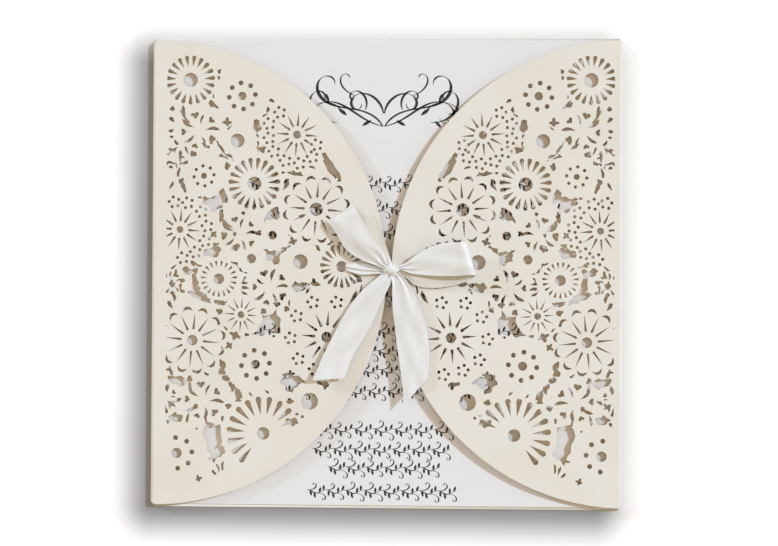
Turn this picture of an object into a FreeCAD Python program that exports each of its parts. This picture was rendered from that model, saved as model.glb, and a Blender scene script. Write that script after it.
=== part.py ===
# Laser cut wedding invitation: a square gatefold sleeve of one folded card, the card
# that it holds, and the satin ribbon that ties its two lace flaps shut.
#
# Lengths are millimetres. X runs across the invitation, Y up the text, Z up from the
# table. The origin is the middle of the underside. Lace artwork is drawn flat, on a flap
# whose u axis runs from the crease towards the middle and whose v axis runs up the fold.
import FreeCAD
import Part

import math
import os
from dataclasses import dataclass

from FreeCAD import Vector

# ---- driving dimensions: the sleeve ----
side = 150.0  # folded outline, square
card = 0.35  # thickness of the pearl card
pocket = 1.5  # room between the back panel and a flap, at the crease
seam_gap = 1.6  # between the two flaps, at the middle
crease_drift = 1.0  # both creases sit this far left of the flaps' centre lines
left_rise = 0.5  # degrees that the left flap springs open from its crease
right_rise = 0.9
rim_width = 4.6  # plain card along a flap's round edge
crease_margin = 3.6  # plain card beside the crease, before the lace begins

# ---- driving dimensions: the insert ----
insert_margin_x = 1.3  # from the sleeve's outline to the insert's edge
insert_margin_top = 0.6
insert_margin_bottom = 0.9
insert_thickness = 0.4

# ---- driving dimensions: the ribbon ----
ribbon_width = 10.0
ribbon_thickness = 0.35
gathered_width = 2.4  # ribbon drawn together to pass a hole in the lace
gathered_thickness = 1.1
lie_gap = 0.1  # air between the ribbon and the card that it lies on
knot_size = (7.6, 5.4, 4.2)
knot_edge = 1.8  # radius where the strip turns round the knot
knot_grip = 4.0  # width of what the knot holds
knot_step = 0.8  # height between the strips that meet in the knot
knot_gap = 0.15  # between the two ends of a loop, in the knot
knot_place = (2.0, 0.8)  # from the middle of the invitation
left_loop_reach = 24.0  # from the knot's middle to the loop's far fold
left_loop_angle = 132.0  # degrees from +X
right_loop_reach = 26.0
right_loop_angle = 8.0
loop_height = 4.2  # between the two layers of a loop
loop_fold = 3.7  # length of the far fold, along the loop
left_tail_end = (-18.4, -34.2)
left_tail_cut = 4.0  # plan angle of the tail's end, degrees from +X
right_tail_end = (9.7, -37.4)
right_tail_cut = 51.0

# ---- what follows from them ----
half = side / 2
fold_outer = pocket / 2 + card
fold_inner = pocket / 2
fold_x = half - fold_outer
flap_radius = half - seam_gap / 2
lace_radius = flap_radius - rim_width
insert_top = card + insert_thickness
artwork_scale = lace_radius / 69.6  # the artwork below is drawn for a 69.6 mm field
dot_sides = 6  # sides of the smallest round cuts
eye_sides = 8  # sides of a flower's eye
disc_sides = 12  # sides of a flower's outline
gap_sides = 8  # sides of an oval gap between flowers


# Stations of the two tails, from the knot to the tail's end: the share of the way in x, the
# share of the way in y, and the share of the ribbon's width.
left_tail_plan = [(0.2, 0.17, 0.75), (0.42, 0.4, 0.95), (0.7, 0.7, 1.0), (1.0, 1.0, 0.95)]
right_tail_plan = [(0.3, 0.22, 0.75), (0.65, 0.46, 0.9), (0.95, 0.71, 0.95), (1.0, 1.0, 1.15)]


# ---- flat artwork ----
def at(centre, angle, along, across=0.0):
    """Point reached from centre by going along the ray at angle (degrees), then across it."""
    turn = math.radians(angle)
    ahead = Vector(math.cos(turn), math.sin(turn), 0)
    aside = Vector(-math.sin(turn), math.cos(turn), 0)
    return centre + ahead * along + aside * across


def outline(points):
    """Closed flat face through the points."""
    return Part.Face(Part.makePolygon(points + points[:1]))


def round_outline(centre, radius, sides, phase=0.0):
    return outline([at(centre, phase + 360.0 * k / sides, radius) for k in range(sides)])


def turned(angles, shape_at):
    return [shape_at(angle) for angle in angles]


def fan(count, phase=0.0, first=0.0, last=360.0):
    """Angles of count even steps from phase, kept from first to last degrees."""
    steps = [phase + 360.0 * k / count for k in range(count)]
    return [a for a in steps if first <= a <= last]


def petal_slot(centre, angle, start, end, width):
    """Slot between two petals: a point at start, widest near end, three sides."""
    shoulder = end - width * 0.3
    return outline([
        at(centre, angle, start),
        at(centre, angle, shoulder, -width / 2),
        at(centre, angle, shoulder, width / 2),
    ])


def ray_slot(centre, angle, start, end, width):
    """Thin ray: widest at start, a point at end."""
    return outline([
        at(centre, angle, start, -width / 2),
        at(centre, angle, end),
        at(centre, angle, start, width / 2),
    ])


def tip_slot(centre, angle, radius, length, width):
    """Crescent across a petal's tip, in four sides."""
    return outline([
        at(centre, angle, radius - width, -length / 2),
        at(centre, angle, radius + width * 0.5),
        at(centre, angle, radius - width, length / 2),
        at(centre, angle, radius - width * 0.5),
    ])


def heart_slot(centre, angle, radius, size):
    """Small heart that points back at the flower's middle."""
    return outline([
        at(centre, angle, radius - size / 2),
        at(centre, angle, radius + size * 0.35, -size / 2),
        at(centre, angle, radius + size * 0.2),
        at(centre, angle, radius + size * 0.35, size / 2),
    ])


def slit(centre, angle, start, end, half_width):
    """Slit between two broad petals: a point at start, widest near end."""
    return outline([
        at(centre, angle, start),
        at(centre, angle, end * 0.85, -half_width),
        at(centre, angle, end * 1.1),
        at(centre, angle, end * 0.85, half_width),
    ])


@dataclass
class Flower:
    """One flower of the lace: its middle (u, v), the size of its eye and of its disc."""

    u: float
    v: float
    eye: float
    disc: float

    @property
    def middle(self):
        return Vector(self.u, self.v, 0)

    def card(self):
        """The card that the flower keeps."""
        return [round_outline(self.middle, self.disc, disc_sides)]

    def cuts(self):
        return [round_outline(self.middle, self.eye, eye_sides)] if self.eye else []


@dataclass
class Aster(Flower):
    """Many narrow petals with a drop-shaped slot between each two."""

    start: float
    end: float
    width: float
    petals: int
    first: float = 0.0
    last: float = 360.0

    def cuts(self):
        angles = fan(self.petals, 4.0, self.first, self.last)
        slots = turned(
            angles, lambda a: petal_slot(self.middle, a, self.start, self.end, self.width)
        )
        return super().cuts() + slots


@dataclass
class Button(Flower):
    """Scalloped disc with a ring of eight dots round its eye."""

    ring: float
    dot: float
    first: float = 0.0
    last: float = 360.0

    def cuts(self):
        angles = fan(8, 5.0, self.first, self.last)
        dots = turned(
            angles, lambda a: round_outline(at(self.middle, a, self.ring), self.dot, dot_sides)
        )
        return super().cuts() + dots


@dataclass
class Burst(Flower):
    """Twelve thin rays round an eye."""

    start: float
    end: float
    width: float

    def cuts(self):
        rays = turned(
            fan(12, 26.0, 0.0, 386.0),
            lambda a: ray_slot(self.middle, a, self.start, self.end, self.width),
        )
        return super().cuts() + rays


@dataclass
class Wheel(Burst):
    """Burst whose petals each carry a crescent at the tip."""

    tip: float

    def cuts(self):
        tips = turned(
            fan(12, 11.0, 0.0, 371.0), lambda a: tip_slot(self.middle, a, self.tip, 3.2, 0.7)
        )
        return super().cuts() + tips


@dataclass
class Cosmos(Flower):
    """Five broad petals, each with a heart, and a slit between each two."""

    core: float
    heart: float

    def card(self):
        points = []
        for notch in fan(5, 2.0):
            points.append(at(self.middle, notch, self.disc * 0.86))
            points.append(at(self.middle, notch + 20.0, self.disc))
            points.append(at(self.middle, notch + 52.0, self.disc))
        return [outline(points)]

    def cuts(self):
        hearts = turned(
            fan(5, 38.0), lambda a: heart_slot(self.middle, a, self.disc * 0.5, self.heart)
        )
        slits = turned(
            fan(5, 2.0),
            lambda a: slit(self.middle, a, self.core, self.disc, self.heart * 0.35),
        )
        return super().cuts() + hearts + slits


@dataclass
class Gap:
    """Opening between flowers: an oval, which loses whatever card the flowers keep."""

    u: float
    v: float
    reach: float  # half its length
    spread: float  # half its width
    angle: float

    def cut(self):
        middle = Vector(self.u, self.v, 0)
        steps = [2 * math.pi * k / gap_sides for k in range(gap_sides)]
        return outline([
            at(middle, self.angle, self.reach * math.cos(t), self.spread * math.sin(t))
            for t in steps
        ])


# Layout of the lace. Places are (u, v) on a flap, from the middle of its straight side.
tie_flower = Aster(59.9, 2.0, 1.9, 8.3, 3.6, 7.0, 1.1, 16)  # the ribbon passes its eye
flowers = [
    tie_flower,
    Aster(11.1, 61.5, 2.3, 9.1, 4.7, 7.9, 1.15, 19),
    Aster(31.8, 28.35, 2.25, 9.9, 4.4, 8.35, 1.15, 19),
    Aster(20.6, -2.1, 1.7, 7.2, 3.6, 5.8, 0.75, 16),
    Aster(35.1, -51.3, 2.0, 13.4, 6.4, 11.8, 1.45, 19, 15.0, 240.0),
    Button(28.0, 56.3, 1.35, 8.0, 4.4, 0.78),
    Button(15.6, 30.8, 0.95, 7.2, 3.3, 0.6),
    Button(32.7, -29.5, 1.45, 9.6, 4.6, 0.8),
    Button(7.4, -57.8, 1.65, 9.6, 4.8, 0.8, 0.0, 100.0),
    Flower(26.3, 42.1, 2.25, 7.1),
    Flower(37.7, 11.9, 1.4, 5.2),
    Flower(31.0, 4.4, 1.5, 5.0),
    Flower(46.7, 3.5, 2.35, 6.9),
    Flower(50.4, -40.6, 2.6, 6.4),
    Burst(45.4, 44.0, 1.3, 9.4, 2.7, 7.1, 0.8),
    Burst(8.0, 13.6, 1.1, 8.6, 2.6, 6.8, 0.8),
    Burst(27.8, -13.5, 1.1, 7.2, 2.2, 5.7, 0.6),
    Burst(55.2, -20.5, 1.7, 9.8, 3.6, 8.4, 0.95),
    Wheel(51.7, 20.2, 2.1, 11.9, 3.7, 8.7, 0.85, 10.2),
    Wheel(12.1, -21.7, 1.7, 11.7, 3.7, 8.4, 0.85, 10.0),
    Cosmos(14.0, 45.3, 0.0, 9.6, 2.6, 2.3),
    Cosmos(27.0, 12.2, 0.0, 9.2, 2.6, 2.2),
    Cosmos(37.0, -4.8, 0.0, 9.2, 2.6, 2.2),
    Cosmos(15.8, -41.0, 0.0, 9.8, 2.6, 2.3),
    Cosmos(5.7, 36.5, 0.0, 5.6, 1.6, 1.5),
    Cosmos(5.4, -3.6, 0.0, 5.6, 1.6, 1.5),
    Cosmos(3.8, -40.0, 0.0, 5.6, 1.6, 1.5),
]
gaps = [
    Gap(20.2, 63.2, 2.1, 0.8, 105.0),
    Gap(18.2, 53.9, 2.6, 0.9, -58.0),
    Gap(8.8, 51.0, 2.4, 0.7, -80.0),
    Gap(32.2, 46.4, 2.7, 1.3, 95.0),
    Gap(19.4, 40.0, 5.2, 1.9, -22.0),
    Gap(44.3, 31.9, 2.4, 0.8, -12.0),
    Gap(56.0, 34.4, 4.2, 1.0, -52.0),
    Gap(20.4, 20.8, 3.2, 2.2, 20.0),
    Gap(19.3, 6.6, 2.8, 1.3, 30.0),
    Gap(36.3, 18.3, 3.9, 1.7, 15.0),
    Gap(42.6, 13.8, 1.6, 0.8, -50.0),
    Gap(37.7, 5.2, 4.0, 2.6, 75.0),
    Gap(57.6, 8.3, 2.6, 1.2, -30.0),
    Gap(12.2, -5.6, 3.6, 1.5, -78.0),
    Gap(16.3, -8.6, 3.4, 0.9, -18.0),
    Gap(21.1, -12.0, 1.9, 1.0, -35.0),
    Gap(25.8, -20.2, 1.9, 0.7, -35.0),
    Gap(29.0, -4.4, 3.8, 1.0, 92.0),
    Gap(37.4, -15.0, 5.0, 3.8, 95.0),
    Gap(46.2, -3.7, 4.8, 1.5, 6.0),
    Gap(21.9, -29.4, 2.3, 0.9, -60.0),
    Gap(22.2, -33.0, 2.2, 1.2, -50.0),
    Gap(7.6, -34.6, 3.2, 1.6, -20.0),
    Gap(26.0, -38.2, 3.6, 1.1, -60.0),
    Gap(45.0, -34.0, 3.9, 2.0, -38.0),
    Gap(19.0, -53.0, 6.4, 2.2, 97.0),
    Gap(7.5, -47.0, 2.6, 1.2, 0.0),
]


def lace_field():
    """The part of a flap that holds the lace."""
    circle = Part.Face(Part.Wire(Part.makeCircle(lace_radius)))
    return circle.common(Part.makePlane(half, side, Vector(crease_margin, -half, 0)))


def flap_blank():
    """The flap's uncut face: half a disc, run on a little past its middle to reach a crease."""
    disc = Part.Face(Part.Wire(Part.makeCircle(flap_radius)))
    run_on = Part.makePlane(flap_radius, 2 * flap_radius, Vector(-flap_radius, -flap_radius, 0))
    kept = Part.makePlane(half + fold_outer, side, Vector(-fold_outer, -half, 0))
    return disc.fuse(run_on).common(kept)


def lace_face():
    """The whole flat flap: plain card, less the flowers' slots and the gaps between flowers."""
    kept = [part.scaled(artwork_scale) for flower in flowers for part in flower.card()]
    slots = [part.scaled(artwork_scale) for flower in flowers for part in flower.cuts()]
    ovals = [gap.cut().scaled(artwork_scale) for gap in gaps]
    openings = ovals[0].multiFuse(ovals[1:]).cut(kept[0].multiFuse(kept[1:]))
    taken = openings.multiFuse(slots).common(lace_field())
    return flap_blank().cut(taken).removeSplitter()


# ---- the folded sleeve ----
def turned_up(angle, radius):
    """Point round the crease's middle line, angle in degrees from +X towards +Z."""
    turn = math.radians(angle)
    return Vector(radius * math.cos(turn), 0, radius * math.sin(turn))


def crease(rise, length):
    """Rolled fold at the left: a strip of the card bent from the back panel up to the flap."""
    bottom = 270.0
    top = 90.0 + rise
    middle = (bottom + top) / 2
    outer = Part.Arc(*[turned_up(a, fold_outer) for a in (bottom, middle, top)]).toShape()
    inner = Part.Arc(*[turned_up(a, fold_inner) for a in (top, middle, bottom)]).toShape()
    ends = [
        Part.makeLine(turned_up(top, fold_outer), turned_up(top, fold_inner)),
        Part.makeLine(turned_up(bottom, fold_inner), turned_up(bottom, fold_outer)),
    ]
    section = Part.Face(Part.Wire([outer, ends[0], inner, ends[1]]))
    section.translate(Vector(0, -length / 2, 0))
    return section.extrude(Vector(0, length, 0))


def flap_start(centre_distance):
    """Where the crease cuts the flap, as a u value: below 0 short of the disc's middle."""
    return centre_distance - fold_x


def flap(face, rise, centre_distance):
    """Left-hand flap with its crease, swung up by rise degrees; the crease's line is at 0."""
    start = flap_start(centre_distance)
    chord = 2 * math.sqrt(flap_radius**2 - max(start, 0.0) ** 2)
    blank = face.common(Part.makePlane(half, side, Vector(start, -half, 0)))
    plate = blank.extrude(Vector(0, 0, card))
    plate.translate(Vector(-start, 0, fold_inner))
    plate.rotate(Vector(), Vector(0, 1, 0), -rise)
    return plate.fuse(crease(rise, chord))


def make_sleeve():
    """One card: the square back panel and a lace flap folded over from each side."""
    face = lace_face()
    back = Part.makeBox(2 * fold_x, side, card, Vector(-fold_x, -half, 0))
    left = flap(face, left_rise, half - crease_drift)
    right = flap(face, right_rise, half + crease_drift)
    left.translate(Vector(-fold_x, 0, fold_outer))
    right.translate(Vector(-fold_x, 0, fold_outer))
    right = right.mirror(Vector(), Vector(1, 0, 0))
    return back.multiFuse([left, right]).removeSplitter()


def make_insert():
    """The plain card that slides between the back panel and the flaps."""
    width = side - 2 * insert_margin_x
    height = side - insert_margin_top - insert_margin_bottom
    corner = Vector(-width / 2, -half + insert_margin_bottom, card)
    return Part.makeBox(width, height, insert_thickness, corner)


# ---- the ribbon ----
def flap_top(x):
    """Height of the flaps' upper face at x."""
    rise = left_rise if x < 0 else right_rise
    along = fold_x - abs(x)
    slope = math.radians(rise)
    return fold_outer + fold_outer / math.cos(slope) + along * math.tan(slope)


@dataclass
class Station:
    """One cross-section of a ribbon band: its middle, and the plan angle of its width."""

    x: float
    y: float
    z: float
    across: float
    width: float
    thickness: float = ribbon_thickness

    @property
    def middle(self):
        return Vector(self.x, self.y, self.z)


def oblong(station, heading):
    """Corners of a station's section, square to the heading and as wide as it says."""
    aside = at(Vector(), station.across, 1.0)
    normal = aside.cross(heading).normalize()
    wide = aside * (station.width / 2)
    deep = normal * (station.thickness / 2)
    corners = [wide + deep, wide - deep, -wide - deep, -wide + deep]
    return [station.middle + corner for corner in corners]


def side_faces(near, far):
    """Faces between two edges: one where the four corners are flat, else two triangles."""
    first, second = near
    third, fourth = far
    twist = (second - first).cross(third - first).dot(fourth - first)
    if abs(twist) < 1e-7:
        return [outline([first, second, fourth, third])]
    return [outline([first, second, third]), outline([second, fourth, third])]


def band(stations):
    """Strip that runs straight from each station's oblong section to the next."""
    last = len(stations) - 1
    rings = []
    for index, station in enumerate(stations):
        before = stations[max(index - 1, 0)].middle
        after = stations[min(index + 1, last)].middle
        rings.append(oblong(station, after - before))
    faces = [outline(rings[0]), outline(rings[-1])]
    for ring, following in zip(rings, rings[1:]):
        for k in range(4):
            faces += side_faces((ring[k], ring[k - 1]), (following[k], following[k - 1]))
    solid = Part.Solid(Part.Shell(faces))
    if solid.Volume < 0:
        solid.reverse()
    return solid


def eye_place(centre_distance):
    """The lace eye that the ribbon passes, as (distance from the middle, y)."""
    return centre_distance - tie_flower.u * artwork_scale, tie_flower.v * artwork_scale


def under_run(left_x, right_x, y):
    """The stretch under the flaps, flat on the insert between the two eyes."""
    low = insert_top + lie_gap
    full = low + ribbon_thickness / 2
    tight = low + gathered_thickness / 2
    third = (right_x - left_x) / 3
    return band([
        Station(left_x, y, tight, 90.0, gathered_width, gathered_thickness),
        Station(left_x + third, y, full, 90.0, ribbon_width),
        Station(right_x - third, y, full, 90.0, ribbon_width),
        Station(right_x, y, tight, 90.0, gathered_width, gathered_thickness),
    ])


def neck(x, y):
    """The gathered ribbon standing in a lace eye, from the insert to the flap's top."""
    low = insert_top + lie_gap
    top = flap_top(x) + lie_gap + gathered_thickness
    corner = Vector(x - gathered_thickness / 2, y - gathered_width / 2, low)
    return Part.makeBox(gathered_thickness, gathered_width, top - low, corner)


def over_run(x, y, knot):
    """The stretch on top of a flap, from its lace eye to the knot."""
    low = flap_top(x) + lie_gap
    across = math.degrees(math.atan2(knot.y - y, knot.x - x)) + 90
    part_x = x + (knot.x - x) * 0.4
    part_y = y + (knot.y - y) * 0.4
    return band([
        Station(x, y, low + gathered_thickness / 2, across, gathered_width, gathered_thickness),
        Station(part_x, part_y, (low + knot.z) / 2, across, ribbon_width * 0.6),
        Station(knot.x, knot.y, knot.z - knot_step, across, knot_grip, gathered_thickness),
    ])


def loop(knot, angle, reach, floor):
    """One loop of the bow: out on top, round its far fold and back underneath."""
    low = floor + lie_gap + ribbon_thickness / 2
    mid = low + loop_height / 2
    high = low + loop_height
    out = [
        (1.0, knot.z + knot_step, knot_grip, gathered_thickness),
        (reach * 0.24, high - knot_step, ribbon_width * 0.75, ribbon_thickness * 1.7),
        (reach * 0.5, high, ribbon_width, ribbon_thickness),
    ]
    fold = []
    for turn in (90.0, 45.0, 0.0, -45.0, -90.0):
        along = reach - loop_fold * (1 - math.cos(math.radians(turn)))
        height = mid + loop_height / 2 * math.sin(math.radians(turn))
        fold.append((along, height, ribbon_width, ribbon_thickness))
    back = [(along, 2 * mid - z, width, depth) for along, z, width, depth in reversed(out[1:])]
    end = knot.z + knot_step - gathered_thickness - knot_gap
    back.append((1.0, end, knot_grip, gathered_thickness))
    stations = []
    for along, z, width, thickness in out + fold + back:
        place = at(knot, angle, along)
        stations.append(Station(place.x, place.y, z, angle + 90, width, thickness))
    return band(stations)


def lie_height(x, reach):
    """Height of a ribbon's middle that clears both flaps from x - reach to x + reach."""
    edges = [edge for edge in (-seam_gap / 2, seam_gap / 2) if abs(edge - x) < reach]
    under = [flap_top(place) for place in [x - reach, x + reach] + edges]
    return max(under) + lie_gap + ribbon_thickness / 2


def tail(knot, end, plan, across, end_across):
    """Tail of the bow: from the knot through the stations of its plan to its cut end."""
    stations = [Station(knot.x, knot.y, knot.z - knot_step, across, knot_grip, gathered_thickness)]
    for share_x, share_y, share_width in plan:
        x = knot.x + (end[0] - knot.x) * share_x
        y = knot.y + (end[1] - knot.y) * share_y
        width = ribbon_width * share_width
        turn = end_across if share_y == 1.0 else across
        stations.append(Station(x, y, lie_height(x, width / 2), turn, width))
    return band(stations)


def knot_block(knot):
    """The knot: a strip wrapped round the others, so round over its top, bottom and sides."""
    width, height, depth = knot_size
    block = Part.makeBox(width, height, depth, knot - Vector(width, height, depth) * 0.5)
    wrapped = [edge for edge in block.Edges if abs(edge.tangentAt(0).x) > 0.5]
    return block.makeFillet(knot_edge, wrapped)


def make_ribbon():
    """One satin strip: under both flaps, up through their lace, and tied in a bow on top."""
    seam_top = max(flap_top(-seam_gap / 2), flap_top(seam_gap / 2))
    knot = Vector(knot_place[0], knot_place[1], seam_top + lie_gap + knot_size[2] / 2)
    left_x, eye_y = eye_place(half - crease_drift)
    right_x, _ = eye_place(half + crease_drift)
    pieces = [
        under_run(-left_x, right_x, eye_y),
        neck(-left_x, eye_y),
        neck(right_x, eye_y),
        over_run(-left_x, eye_y, knot),
        over_run(right_x, eye_y, knot),
        loop(knot, left_loop_angle, left_loop_reach, seam_top),
        loop(knot, right_loop_angle, right_loop_reach, seam_top),
        tail(knot, left_tail_end, left_tail_plan, -18.0, left_tail_cut),
        tail(knot, right_tail_end, right_tail_plan, 12.0, right_tail_cut),
    ]
    return knot_block(knot).multiFuse(pieces).removeSplitter()


def main():
    os.makedirs("parts", exist_ok=True)
    nodes = {
        "sleeve": make_sleeve(),
        "insert_card": make_insert(),
        "ribbon": make_ribbon(),
    }
    for name, shape in nodes.items():
        solids = shape.Solids
        print(name, len(solids), "solid(s)", round(shape.Volume, 1), "mm3", shape.isValid())
        whole = solids[0] if len(solids) == 1 else shape
        whole.exportStep(f"parts/{name}.step")


if __name__ == "__main__":
    main()
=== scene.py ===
"""Looks of a square gatefold invitation: lace sleeve, printed insert and satin bow.

Lengths are millimetres until a mesh is made, and metres in the scene.
"""

from __future__ import annotations

import logging
import math
from collections.abc import Iterable, Sequence
from dataclasses import dataclass, field
from enum import Enum

import bpy
import numpy as np
from mathutils import Matrix, Vector
from mathutils.geometry import delaunay_2d_cdt


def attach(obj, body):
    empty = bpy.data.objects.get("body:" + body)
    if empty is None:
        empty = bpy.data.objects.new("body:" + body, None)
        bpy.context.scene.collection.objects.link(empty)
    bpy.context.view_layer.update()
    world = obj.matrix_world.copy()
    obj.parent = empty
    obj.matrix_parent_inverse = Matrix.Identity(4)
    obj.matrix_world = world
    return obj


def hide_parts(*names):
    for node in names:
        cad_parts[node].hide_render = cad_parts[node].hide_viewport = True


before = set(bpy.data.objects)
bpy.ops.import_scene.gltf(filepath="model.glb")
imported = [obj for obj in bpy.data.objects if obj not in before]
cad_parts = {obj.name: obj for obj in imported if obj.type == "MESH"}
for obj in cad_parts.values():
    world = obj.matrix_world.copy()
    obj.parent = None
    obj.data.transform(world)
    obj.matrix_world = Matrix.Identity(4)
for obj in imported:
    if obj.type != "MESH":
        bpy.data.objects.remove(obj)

LOG = logging.getLogger("invitation")
MM = 0.001
Grid = np.ndarray  # points or numbers in rows, or in rows and columns
Outline = np.ndarray  # points round a closed shape, one row each
Socket = bpy.types.NodeSocket
Colour = tuple[int, int, int]  # as seen on a screen, 0 to 255
Triple = tuple[float, float, float]  # a place, or a tint of light


# ---------------------------------------------------------------- small geometry


def polar(middle: Sequence[float], angles: Grid, radii: Grid | float) -> Outline:
    """Points round a middle: the middle plus radius times cosine and sine of the angle.

    Args:
        middle: centre of the ring.
        angles: angle of each point in degrees.
        radii: radius of each point, or one for all.

    Returns:
        Array of points, one row each.
    """
    turn = np.radians(angles)
    return np.stack([middle[0] + radii * np.cos(turn), middle[1] + radii * np.sin(turn)], axis=1)


def circle(middle: Sequence[float], radius: float, corners: int) -> Outline:
    """Circle as a polygon of so many corners."""
    return polar(middle, np.arange(corners) * 360 / corners, radius)


def set_on_ray(middle: Sequence[float], angle: float, along: Grid, across: Grid) -> Outline:
    """Turns a shape on a ray to the ray's angle, and moves it to the middle.

    Args:
        middle: where the ray starts.
        angle: where it points, in degrees.
        along: places of the shape along the ray.
        across: places to the left of it.

    Returns:
        The shape's points.
    """
    c, s = math.cos(math.radians(angle)), math.sin(math.radians(angle))
    return np.stack(
        [middle[0] + along * c - across * s, middle[1] + along * s + across * c], axis=1
    )


def scalloped(
    middle: Sequence[float], radius: float, depth: float, lobes: int, phase: float
) -> Outline:
    """Scalloped disc: the radius less depth times one minus a rounded cosine of the lobes.

    Args:
        middle: centre of the disc.
        radius: reach of the lobes.
        depth: how far the edge falls in between two lobes.
        lobes: how many there are, seven points to each.
        phase: angle of a lobe's tip in degrees.

    Returns:
        The outline.
    """
    angles = np.arange(lobes * 7) * 360.0 / (lobes * 7)
    wave = np.abs(np.cos(np.radians(lobes * (angles - phase) / 2))) ** 0.8
    return polar(middle, angles, radius - depth * (1 - wave))


def drop(start: float, end: float, width: float, fat_out: bool) -> tuple[Grid, Grid]:
    """Tear drop along a ray: a point at one end and an arc of half the width at the other.

    Args:
        start: place of the inner end along the ray.
        end: place of the outer end.
        width: greatest width.
        fat_out: whether the arc is at the outer end.

    Returns:
        Places along and across the ray.
    """
    cap = np.radians(np.linspace(-100.0, 100.0, 9))
    r = width / 2
    if fat_out:
        along = np.concatenate([[start], end - r + r * np.cos(cap)])
        across = np.concatenate([[0.0], r * np.sin(cap)])
    else:
        along = np.concatenate([[end], start + r - r * np.cos(cap)])
        across = np.concatenate([[0.0], -r * np.sin(cap)])
    return along, across


def crescent(radius: float, half: float, width: float, bow: float) -> tuple[Grid, Grid]:
    """Crescent across a ray: a parabola of depth bow, thickened by width at its middle.

    Args:
        radius: place of the middle of its inner side along the ray.
        half: half its length across the ray.
        width: thickness at its middle.
        bow: how far its tips fall back.

    Returns:
        Places along and across the ray.
    """
    t = np.linspace(-1.0, 1.0, 9)
    back = radius - bow * t**2
    front = back + width * (1 - t**4)
    along = np.concatenate([front, back[::-1][1:-1]])
    across = np.concatenate([half * t, half * t[::-1][1:-1]])
    return along, across


def heart(radius: float, width: float, height: float) -> tuple[Grid, Grid]:
    """Heart on a ray from the usual sum of cosines and a cubed sine, scaled to its box.

    Args:
        radius: place of its middle along the ray.
        width: size across the ray.
        height: size along the ray.

    Returns:
        Places along and across the ray.
    """
    t = np.linspace(0, 2 * np.pi, 17)[:-1]
    x = (13 * np.cos(t) - 5 * np.cos(2 * t) - 2 * np.cos(3 * t) - np.cos(4 * t)) / 17
    y = 16 * np.sin(t) ** 3 / 17
    return radius + x * height / 2, y * width / 2


def smooth_path(stations: Sequence[Sequence[float]], count: int) -> Grid:
    """Cubic path through the stations: slopes by finite difference over the run between them.

    Args:
        stations: rows of numbers, all interpolated alike.
        count: how many rows to return, evenly spaced by the length run.

    Returns:
        Array of count rows.
    """
    p = np.asarray(stations, float)
    run = np.concatenate([[0.0], np.cumsum(np.linalg.norm(np.diff(p, axis=0), axis=1))])
    slope = np.gradient(p, run, axis=0)
    q = np.linspace(0.0, run[-1], count)
    k = np.clip(np.searchsorted(run, q, side="right") - 1, 0, len(run) - 2)
    h = (run[k + 1] - run[k])[:, None]
    s = (q - run[k])[:, None] / h
    return (
        (2 * s**3 - 3 * s**2 + 1) * p[k]
        + (s**3 - 2 * s**2 + s) * h * slope[k]
        + (3 * s**2 - 2 * s**3) * p[k + 1]
        + (s**3 - s**2) * h * slope[k + 1]
    )


def inside(points: Grid, outline: Outline) -> Grid:
    """Even-odd test: true where a ray to the right crosses the outline an odd number of times.

    Args:
        points: places to test.
        outline: the closed shape.

    Returns:
        One truth for each point.
    """
    found = np.zeros(len(points), bool)
    low, high = outline.min(0), outline.max(0)
    near = np.nonzero(((points > low) & (points < high)).all(1))[0]
    if not len(near):
        return found
    x, y = points[near, 0][:, None], points[near, 1][:, None]
    a, b = outline, np.roll(outline, -1, axis=0)
    spans = (a[:, 1] > y) != (b[:, 1] > y)
    rise = np.where(b[:, 1] == a[:, 1], 1e-12, b[:, 1] - a[:, 1])
    cross = a[:, 0] + (y - a[:, 1]) * (b[:, 0] - a[:, 0]) / rise
    found[near] = (spans & (x < cross)).sum(1) % 2 == 1
    return found


def inside_any(points: Grid, outlines: Sequence[Outline]) -> Grid:
    """True for each point inside at least one of the outlines."""
    return np.any([inside(points, outline) for outline in outlines], axis=0)


def grid_faces(rows: int, columns: int, first: int = 0, flip: bool = False) -> Grid:
    """Quads of a grid whose vertices are numbered row by row.

    Args:
        rows: rows of vertices.
        columns: columns of vertices.
        first: number of the first vertex.
        flip: whether the quads face the other way.

    Returns:
        Four vertex numbers to a row.
    """
    index = first + np.arange(rows * columns).reshape(rows, columns)
    quads = np.stack([index[:-1, :-1], index[:-1, 1:], index[1:, 1:], index[1:, :-1]], axis=-1)
    quads = quads.reshape(-1, 4)
    return quads[:, ::-1] if flip else quads


def grid_normals(points: Grid) -> Grid:
    """Unit normals of a grid: the cross product of its slopes along and across."""
    normal = np.cross(np.gradient(points, axis=0), np.gradient(points, axis=1))
    return normal / np.maximum(np.linalg.norm(normal, axis=-1, keepdims=True), 1e-9)


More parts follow.
